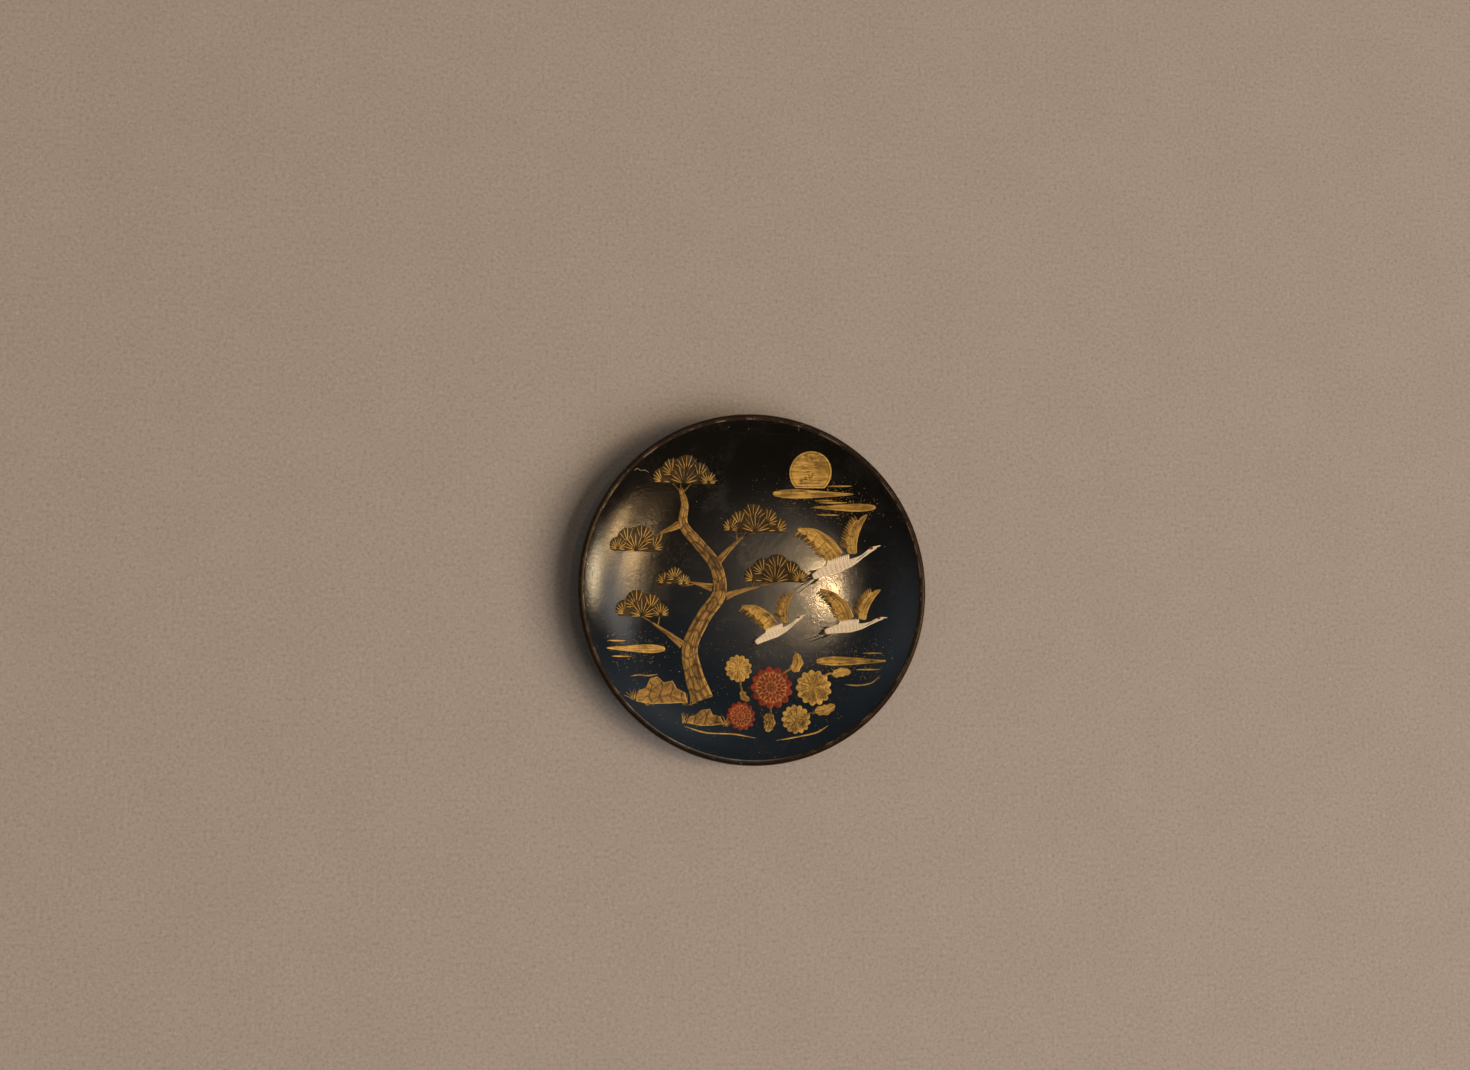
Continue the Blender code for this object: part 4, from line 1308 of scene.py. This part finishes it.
class DISH_OT_lip(bpy.types.Operator):
    """Turn the rounded lip and nick it"""

    bl_idname = "dish.lip"
    bl_label = "Lip"

    def execute(self, context):
        sizes = context.scene.dish_sizes
        around, over, under = LIP_STEPS
        arc, is_over = there_and_back(LIP_INNER_ANGLE, LIP_UNDER_ANGLE, LIP_INNER_ANGLE, over, under)
        depth = np.where(is_over, 0.0, LACQUER)
        angle = round_trip(around)[:, None]
        nick = self.nicks(angle, arc, sizes) * is_over
        waver = LIP_WAVER * (1 + np.sin(angle * 3 + 1) * np.sin(angle * 7 + arc) * np.cos(angle * 23))
        section = LIP_RADIUS - depth - nick - waver * is_over
        grid = turned(LIP_R + section * np.cos(arc), LIP_Z + section * np.sin(arc), angle)
        skin = (grid, {"nick": nick / sizes.nick_depth})
        add_piece("lip_skin", skin, "lip_lacquer", "lip_lacquer", ring=True, sharp=True)
        return {"FINISHED"}

    def nicks(self, angle, arc, sizes):
        """Depth of the nicks: a bell curve round each one's place along the lip and across it."""
        rng = np.random.default_rng(11)
        count = sizes.nick_count
        where = rng.uniform(0, math.tau, count)
        height = rng.uniform(math.radians(20), math.radians(120), count)
        long = rng.uniform(0.004, 0.016, count)
        tall = rng.uniform(0.15, 0.45, count)
        deep = sizes.nick_depth * rng.uniform(0.15, 1.0, count) ** 2
        apart = np.mod(angle[..., None] - where + math.pi, math.tau) - math.pi
        nicks = deep * np.exp(-((apart / long) ** 2) - ((arc[None, :, None] - height) / tall) ** 2)
        return nicks.sum(axis=-1)


class DISH_OT_back(bpy.types.Operator):
    """Turn the back, the base and the foot ring"""

    bl_idname = "dish.back"
    bl_label = "Back and foot"

    def execute(self, context):
        angle = round_trip(BACK_STEPS[0])[:, None]
        foot_top_r = FOOT_OUT_R + FOOT_FLARE
        radius, is_lower = there_and_back(foot_top_r, BACK_EDGE_R - JOIN, foot_top_r, *BACK_STEPS[1:])
        ripple = LATHE_RIPPLE * np.sin(radius / 0.0011) * np.sin(radius / 0.0037)
        grid = turned(radius, back_height(radius) + np.where(is_lower, ripple, LACQUER), angle)
        add_piece("back_skin", (grid, {}), "back_lacquer", "back_lacquer", ring=True, sharp=True)

        radius, is_lower = there_and_back(0.0008, FOOT_IN_R - FOOT_FLARE, 0.001, *BASE_STEPS[1:])
        level = np.where(is_lower, BASE_Z + LATHE_RIPPLE * np.sin(radius / 0.0013), BASE_Z + LACQUER)
        grid = turned(radius[:, None], level[:, None], round_trip(BASE_STEPS[0])[None, :])
        add_piece("base_skin", (grid, {}), "back_lacquer", "base_lacquer", sharp=True)

        quarter = np.linspace(0, math.pi / 2, 8)
        outer_r = FOOT_OUT_R - FOOT_EASE + FOOT_EASE * np.cos(quarter)
        inner_r = FOOT_IN_R + FOOT_EASE - FOOT_EASE * np.cos(quarter)
        low = FOOT_EASE - FOOT_EASE * np.sin(quarter)
        rise = np.linspace(0, 1, 10)
        wall = FOOT_EASE + (FOOT_TOP_Z - FOOT_EASE) * rise
        inner_wall = FOOT_IN_R - FOOT_FLARE * rise**2
        outer_wall = FOOT_OUT_R + FOOT_FLARE * rise**2
        radius = np.concatenate([outer_r[:-1], inner_r[::-1], inner_wall[1:], outer_wall[:0:-1]])
        height = np.concatenate([low[:-1], low[::-1], wall[1:], wall[:0:-1]])
        grid = turned(radius, height, angle)
        add_piece("foot_skin", (grid, {}), "back_lacquer", "foot_ring", ring=True, sharp=True)
        return {"FINISHED"}


class DISH_OT_inner_layers(bpy.types.Operator):
    """Give the wood, cloth and clay under the lacquer their finishes"""

    bl_idname = "dish.inner_layers"
    bl_label = "Inner layers"

    def execute(self, context):
        for node, look in INNER_LAYERS.items():
            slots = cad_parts[node].data.materials
            slots.clear()
            slots.append(finish(look))
        return {"FINISHED"}


class DISH_OT_pine(bpy.types.Operator):
    """Raise the pine: trunk, branches, twigs, beds of needles and every needle on them"""

    bl_idname = "dish.pine"
    bl_label = "Pine"

    def execute(self, context):
        sizes = context.scene.dish_sizes
        relief = sizes.brown_relief
        trunk = ribbon(PINE_TRUNK, PINE_TRUNK_WIDTHS, *BAND_POINTS["trunk"], relief, bark_cut)
        add_piece("pine_trunk_relief", trunk, "bark_gold", "pine_trunk")
        for number, path in enumerate(PINE_BRANCHES, 1):
            path = np.array(path)
            path[0] -= BRANCH_ROOT * (path[1] - path[0])
            name = f"pine_branch_{number}"
            branch = ribbon(path, BRANCH_TAPER, *BAND_POINTS["branch"], BRANCH_RELIEF * relief, twig_cut)
            add_piece(f"{name}_relief", branch, "bark_gold", name)
        root, tip = np.split(np.array(PINE_TWIGS), 2, axis=1)
        across, up = (tip - root).T
        length = np.hypot(across, up) * PICTURE_RADIUS
        twigs = strokes(root * PICTURE_RADIUS, np.arctan2(up, across), length, *TWIG_STROKE)
        add_piece("pine_twigs", twigs, "bark_gold")
        for number, bed in enumerate(PINE_PADS, 1):
            self.needles(number, bed, sizes)
        return {"FINISHED"}

    def needles(self, number, bed, sizes):
        """A bed of needles, and a fan of strokes on each of its domes.

        The needles of a fan leave a point low in its circle at nearly even headings and reach the circle.
        Those that a nearer fan covers are left out.
        """
        x, y, kind, facing = bed
        fans = NEEDLE_FANS[kind]
        name = f"pine_needles_{number}"
        relief = BED_RELIEF * sizes.gold_relief
        around, rings = PAD_POINTS["needles"]
        form = needle_form((x, y), fans, facing)
        grid, stored = pad((x, y), needle_outline(fans, facing, around), rings, relief, form)
        # A bed of needles gets no painted highlight at its edge
        stored["edge"] = 0 * stored["edge"]
        add_piece(f"{name}_bed", (grid, stored), "shaded_gold", name)

        rng = np.random.default_rng(100 + number)
        fan_x, fan_y, radius = np.array(fans).T
        middle = np.stack([x + facing * fan_x, y + fan_y], axis=1)
        drop = FAN_DROP * radius
        even = np.linspace(math.radians(-4), math.radians(184), NEEDLES_IN_FAN)
        heading = even + rng.normal(0, 0.02, (len(fans), NEEDLES_IN_FAN))
        way = np.stack([np.cos(heading), np.sin(heading)], axis=-1)
        rise = drop[:, None] * way[..., 1]
        reach = rise + np.sqrt(radius[:, None] ** 2 - drop[:, None] ** 2 + rise**2)
        base = (middle - np.stack([0 * drop, drop], axis=1))[:, None, :]
        run = reach[..., None] * way
        shown = (base + run)[..., 1] > y - 1.02 * NEEDLE_UNDERSIDE
        for step in range(len(fans)):
            off = base + 0.8 * run - middle[step]
            covered = np.hypot(off[..., 0], off[..., 1]) < radius[step]
            covered[step:] = False
            shown = shown & ~covered
        start = (base + NEEDLE_START * run)[shown] * PICTURE_RADIUS
        length = (1 - NEEDLE_START) * reach * rng.uniform(0.98, 1.14, reach.shape) * PICTURE_RADIUS
        level = relief * (DOME_HEIGHT + DOME_STEP * np.arange(len(fans)))
        lift = np.broadcast_to(level[:, None], reach.shape)
        sizing = (sizes.needle_width, NEEDLE_HEIGHT, 0.0, lift[shown])
        add_piece(f"{name}_strokes", strokes(start, heading[shown], length[shown], *sizing), "fresh_gold")


class DISH_OT_sky(bpy.types.Operator):
    """Raise the bands of mist and the sun behind them"""

    bl_idname = "dish.sky"
    bl_label = "Mist and sun"

    def execute(self, context):
        relief = context.scene.dish_sizes.gold_relief
        for number, (x, y, half_length, half_width, facing) in enumerate(MIST_BANDS, 1):
            name = f"mist_band_{number}"
            path = [(x + end * facing * half_length, y) for end in (-1, 0, 1)]
            widths = np.array(MIST_WIDTHS) * half_width
            band = ribbon(path, widths, *BAND_POINTS["mist"], relief, mist_cut, round_ends=0.03)
            add_piece(f"{name}_relief", band, "gold", name)
            for line, (near, far, above) in enumerate(MIST_LINES, 1):
                ends = [(x + facing * end * half_length, y + above * half_width) for end in (near, far)]
                add_piece(f"{name}_line_{line}", ribbon(ends, *LINES["mist"]), "gold")
        x, y, radius = SUN
        around, rings = PAD_POINTS["sun"]
        fall = np.maximum(-radius * np.sin(round_trip(around)), SUN_CUT)
        sun = pad((x, y), round_offsets(radius * SUN_CUT / fall), rings, relief, sun_form, level=True)
        add_piece("sun_relief", sun, "gold", "sun_disc")
        return {"FINISHED"}


class DISH_OT_cranes(bpy.types.Operator):
    """Let in the cranes' shell bodies, raise their gold wings, and draw legs, tails, feathers and crowns"""

    bl_idname = "dish.cranes"
    bl_label = "Cranes"

    def execute(self, context):
        relief = context.scene.dish_sizes.shell_relief
        for number, crane in enumerate(CRANES, 1):
            name = f"crane_{number}"
            widths = np.array(CRANE_BODY_WIDTHS) * crane[2]
            path = crane_place(crane, CRANE_BODY)
            body = ribbon(path, widths, *BAND_POINTS["body"], relief, body_cut, round_ends=0.02)
            add_piece(f"{name}_body_shell", body, "shell", f"{name}_body")
            for part, wing in CRANE_WINGS.items():
                path = crane_place(crane, wing[0])
                widths = np.array(wing[1]) * crane[2]
                feathered = ribbon(path, widths, *BAND_POINTS["wing"], relief, wing_cut, 0.03, WING_SCALLOPS)
                add_piece(f"{name}_{part}_gold", feathered, "gold", f"{name}_{part}")
            self.drawing(name, crane)
        return {"FINISHED"}

    def drawing(self, name, crane):
        """Legs, tail plumes and throat in dark strokes, flight and shoulder feathers, and a red crown."""
        scale = crane[2] * PICTURE_RADIUS
        turn = crane[3]
        x, y, heading, length, half_width, lift = np.array(CRANE_STROKES).T
        start = crane_place(crane, np.stack([x, y], axis=1)) * PICTURE_RADIUS
        heading = np.radians(heading) + turn
        sizing = (length * scale, half_width * scale, DRAWING_HEIGHT, DRAWING_BEND, lift)
        add_piece(f"{name}_drawing", strokes(start, heading, *sizing), "ink")

        wings = [self.quills(crane, *wing) for wing in CRANE_WINGS.values()]
        add_piece(f"{name}_quills", (np.concatenate(wings), {}), "bark_gold")

        count = SHOULDER_FEATHERS
        root = np.stack([np.linspace(*SHOULDER_X, count), np.full(count, SHOULDER_Y)], axis=1)
        start = crane_place(crane, root) * PICTURE_RADIUS
        heading = np.linspace(*SHOULDER_HEADINGS, count) + turn
        length = np.linspace(*SHOULDER_LENGTHS, count) * scale
        sizing = (length, SHOULDER_HALF_WIDTH * scale, SHOULDER_HEIGHT, SHOULDER_BEND, SHOULDER_LIFT)
        add_piece(f"{name}_shoulder", strokes(start, heading, *sizing), "shell")

        around, rings = PAD_POINTS["crown"]
        outline = round_offsets(np.full(around, CROWN_RADIUS * crane[2])) * CROWN_STRETCH
        crown = pad(crane_place(crane, (CRANE_CROWN,))[0], outline, rings, CROWN_RELIEF)
        add_piece(f"{name}_crown", crown, "red_lacquer")

    def quills(self, crane, path, half_widths, stations):
        """Flight feathers behind a wing: strokes off its trailing edge that lean towards its tip.

        Those of the far wing start lower, clear of the mist.
        """
        line = smooth_path(path, QUILL_STATIONS)
        width = widths_along(half_widths, np.linspace(0, 1, QUILL_STATIONS))
        pick = np.linspace(*stations, QUILLS).astype(int)
        forward = forward_along(line)[pick]
        right = np.stack([forward[:, 1], -forward[:, 0]], axis=1)
        start = crane_place(crane, line[pick] + right * width[pick, None] * 0.95) * PICTURE_RADIUS
        back = right - QUILL_LEAN * forward
        heading = np.arctan2(back[:, 1], back[:, 0]) + crane[3]
        length = np.linspace(*QUILL_LENGTHS, QUILLS) * crane[2] * PICTURE_RADIUS
        half_width = QUILL_HALF_WIDTH * crane[2] * PICTURE_RADIUS
        return strokes(start, heading, length, half_width, QUILL_HEIGHT, QUILL_BEND)[0]


class DISH_OT_flowers(bpy.types.Operator):
    """Raise the chrysanthemums with their leaves and stems"""

    bl_idname = "dish.flowers"
    bl_label = "Flowers"

    def execute(self, context):
        relief = context.scene.dish_sizes.gold_relief
        steps, rings = PAD_POINTS["petal"]
        for number, (x, y, radius, is_red) in enumerate(FLOWERS, 1):
            name = f"flower_{number}"
            petals = pad((x, y), flower_outline(radius, steps), rings, relief * FLOWER_RELIEF, petal_form)
            add_piece(f"{name}_petals", petals, "red_lacquer" if is_red else "gold", name)
            self.heart(name, x, y, radius)
        for number, (*path, half_width) in enumerate(LEAVES, 1):
            widths = np.array(LEAF_WIDTHS) * half_width
            leaf = ribbon(path, widths, *BAND_POINTS["leaf"], relief, leaf_cut, round_ends=0.04)
            add_piece(f"leaf_{number}_relief", leaf, "gold", f"leaf_{number}")
        for number, path in enumerate(STEMS, 1):
            add_piece(f"stem_{number}", ribbon(path, *LINES["stem"]), "bark_gold")
        return {"FINISHED"}

    def heart(self, name, x, y, radius):
        """Gold pollen in the middle of a flower: points on a sunflower spiral."""
        count = np.arange(POLLEN_GRAINS)
        reach = POLLEN_REACH * radius * np.sqrt((count + 0.5) / POLLEN_GRAINS)
        way = count * GOLDEN_ANGLE
        start = np.stack([x + reach * np.cos(way), y + reach * np.sin(way)], axis=1) * PICTURE_RADIUS
        add_piece(f"{name}_pollen", strokes(start, way, *POLLEN_STROKE), "gold")


class DISH_OT_rocks(bpy.types.Operator):
    """Raise the rocks, with grass and the lines of a shore"""

    bl_idname = "dish.rocks"
    bl_label = "Rocks"

    def execute(self, context):
        relief = context.scene.dish_sizes.brown_relief
        rng = np.random.default_rng(31)
        steps, rings = PAD_POINTS["edge"]
        for number, (middle, corners) in enumerate(ROCKS, 1):
            rock = pad(middle, cornered_outline(corners, steps), rings, relief, rock_form)
            add_piece(f"rock_{number}_relief", rock, "bark_gold", f"rock_{number}")
        root = np.repeat(np.array(TUFTS), GRASS_BLADES, axis=0)
        root = root + rng.normal(0, 1, root.shape) * GRASS_SPREAD
        lean = rng.normal(0, 0.42, len(root))
        length = rng.uniform(0.005, 0.0125, len(root))
        grass = strokes(root * PICTURE_RADIUS, math.pi / 2 - lean, length, *GRASS_STROKE, -1.1 * lean)
        add_piece("grass", grass, "gold")
        for number, path in enumerate(SHORE_LINES, 1):
            add_piece(f"shore_line_{number}", ribbon(path, *LINES["shore"]), "gold")
        return {"FINISHED"}


class DISH_OT_sprinkled_gold(bpy.types.Operator):
    """Sprinkle flecks of gold round the mist and over the lower part of the face"""

    bl_idname = "dish.sprinkled_gold"
    bl_label = "Sprinkled gold"

    def execute(self, context):
        rng = np.random.default_rng(47)
        count = context.scene.dish_sizes.fleck_count
        bands = np.array(MIST_BANDS)[rng.integers(0, len(MIST_BANDS), count)]
        across = bands[:, 0] + bands[:, 2] * rng.normal(0, 0.62, count)
        up = bands[:, 1] + bands[:, 3] * rng.normal(0, 1.9, count)
        loose = rng.random(count) < 0.22
        across = np.where(loose, rng.uniform(-0.8, 0.85, count), across)
        up = np.where(loose, rng.uniform(-0.95, -0.30, count), up)
        centre = np.stack([across, up], axis=1)
        centre = centre[np.hypot(across, up) < 1.0] * PICTURE_RADIUS
        heading = rng.uniform(0, math.tau, len(centre))
        length = rng.uniform(0.0003, 0.0011, len(centre))
        half_width = rng.uniform(0.00012, 0.0003, len(centre))
        flecks = strokes(centre, heading, length, half_width, FLECK_HEIGHT)
        add_piece("sprinkled_gold", flecks, "gold")
        return {"FINISHED"}


class DISH_OT_stage(bpy.types.Operator):
    """Set the floor, the lamps, the room and the camera"""

    bl_idname = "dish.stage"
    bl_label = "Stage"

    def execute(self, context):
        scene = context.scene
        stage = scene.dish_stage
        self.floor(scene)
        for lamp, power in zip(SQUARE_LAMPS, (stage.fill_power, stage.lamp_power)):
            self.lamp(scene, power, *lamp)
        self.room(scene, stage)
        self.camera(scene, stage)
        scene.view_settings.view_transform = "Standard"
        return {"FINISHED"}

    def floor(self, scene):
        """A level floor under the foot."""
        corners = [(x * FLOOR_REACH, y * FLOOR_REACH, 0.0) for x, y in ((-1, -1), (1, -1), (1, 1), (-1, 1))]
        mesh = bpy.data.meshes.new("floor")
        mesh.from_pydata(corners, [], [(0, 1, 2, 3)])
        mesh.materials.append(finish("floor"))
        obj = bpy.data.objects.new("floor", mesh)
        scene.collection.objects.link(obj)

    def lamp(self, scene, power, name, direction, distance, side, colour, mirrored):
        """A soft square of light that faces the dish from a direction, mirrored in polish or not."""
        light = bpy.data.lights.new(name, "AREA")
        light.shape = "SQUARE"
        light.size = side
        light.energy = power
        light.color = colour
        back = Vector(direction).normalized()
        place = Matrix.Translation(Vector((0.0, 0.0, HEIGHT)) + back * distance)
        obj = bpy.data.objects.new(name, light)
        obj.matrix_world = place @ back.to_track_quat("Z", "Y").to_matrix().to_4x4()
        obj.visible_glossy = mirrored
        scene.collection.objects.link(obj)

    def room(self, scene, stage):
        """Dim light all round, more of it low down, with round lamps and glows; the camera sees a plain wall.

        A lamp is a disc with a soft edge. A glow falls off as a power of the cosine of the angle from it.
        """
        world = bpy.data.worlds.new("room")
        world.use_nodes = True
        shade = Shade(world.node_tree)
        way = shade.node("ShaderNodeTexCoord", output="Generated")

        def vectors(operation, values, output=0):
            return shade.node("ShaderNodeVectorMath", {"operation": operation}, values, output)

        def facing(direction):
            return vectors("DOT_PRODUCT", {0: way, 1: Vector(direction).normalized()}, "Value")

        def lit(light, colour, strength):
            return vectors("ADD", {0: light, 1: vectors("SCALE", {0: colour, "Scale": strength})})

        low_down = split(way)[2].smooth(0.48, 0.15)
        light = lit((0.0, 0.0, 0.0), WALL, low_down * stage.wall_glow + stage.room_light)
        for direction, outer, inner, strength, colour in ROOM_LAMPS:
            disc = facing(direction).smooth(math.cos(math.radians(outer)), math.cos(math.radians(inner)))
            light = lit(light, colour, disc * (strength * stage.room_glow))
        for direction, tightness, strength, colour in ROOM_GLOWS:
            glow = facing(direction).at_least(0.0) ** tightness
            light = lit(light, colour, glow * (strength * stage.room_glow))
        seen = shade.node("ShaderNodeLightPath", output="Is Camera Ray")
        shown = seen.between(light, scene.dish_colours.floor)
        shade.feed(world.node_tree.nodes["Background"], {"Color": shown})
        scene.world = world

    def camera(self, scene, stage):
        """A camera that sees the face from a little below and left of its axis, the dish off its middle."""

        def sideways(ahead):
            right = ahead.cross(Vector((0.0, 1.0, 0.0))).normalized()
            return right, right.cross(ahead)

        back = Vector(CAMERA_WAY).normalized()
        pixels = stage.lens / SENSOR_WIDTH * FRAME_PIXELS
        right, up = sideways(-back)
        ahead = (-back - right * (DISH_RIGHT_PIXELS / pixels) + up * (DISH_DOWN_PIXELS / pixels)).normalized()
        turn = Matrix((*sideways(ahead), -ahead)).transposed().to_4x4()
        data = bpy.data.cameras.new("camera")
        data.sensor_width = SENSOR_WIDTH
        data.lens = stage.lens
        data.clip_start = 0.01
        data.clip_end = 60.0
        obj = bpy.data.objects.new("camera", data)
        obj.matrix_world = Matrix.Translation(Vector((0.0, 0.0, LIP_Z)) + back * stage.eye_distance) @ turn
        scene.collection.objects.link(obj)
        scene.camera = obj


class DISH_PT_panel(bpy.types.Panel):
    """Sizes, colours and pieces of the dish"""

    bl_idname = "DISH_PT_panel"
    bl_label = "Lacquered Dish"
    bl_space_type = "VIEW_3D"
    bl_region_type = "UI"
    bl_category = "Dish"

    def draw(self, context):
        for group in (context.scene.dish_sizes, context.scene.dish_colours, context.scene.dish_stage):
            box = self.layout.box()
            for name in group.__annotations__:
                box.prop(group, name)
        for operator in OPERATORS:
            self.layout.operator(operator.bl_idname)


OPERATORS = (
    DISH_OT_face,
    DISH_OT_lip,
    DISH_OT_back,
    DISH_OT_inner_layers,
    DISH_OT_pine,
    DISH_OT_sky,
    DISH_OT_cranes,
    DISH_OT_flowers,
    DISH_OT_rocks,
    DISH_OT_sprinkled_gold,
    DISH_OT_stage,
)
CLASSES = (DishSizes, DishColours, DishStage, *OPERATORS, DISH_PT_panel)


def register():
    for cls in CLASSES:
        bpy.utils.register_class(cls)
    bpy.types.Scene.dish_sizes = PointerProperty(type=DishSizes)
    bpy.types.Scene.dish_colours = PointerProperty(type=DishColours)
    bpy.types.Scene.dish_stage = PointerProperty(type=DishStage)


def unregister():
    del bpy.types.Scene.dish_stage
    del bpy.types.Scene.dish_colours
    del bpy.types.Scene.dish_sizes
    for cls in reversed(CLASSES):
        bpy.utils.unregister_class(cls)


def main():
    """Make every piece and set the stage."""
    register()
    bpy.ops.dish.face()
    bpy.ops.dish.lip()
    bpy.ops.dish.back()
    bpy.ops.dish.inner_layers()
    bpy.ops.dish.pine()
    bpy.ops.dish.sky()
    bpy.ops.dish.cranes()
    bpy.ops.dish.flowers()
    bpy.ops.dish.rocks()
    bpy.ops.dish.sprinkled_gold()
    bpy.ops.dish.stage()


if __name__ == "__main__":
    main()
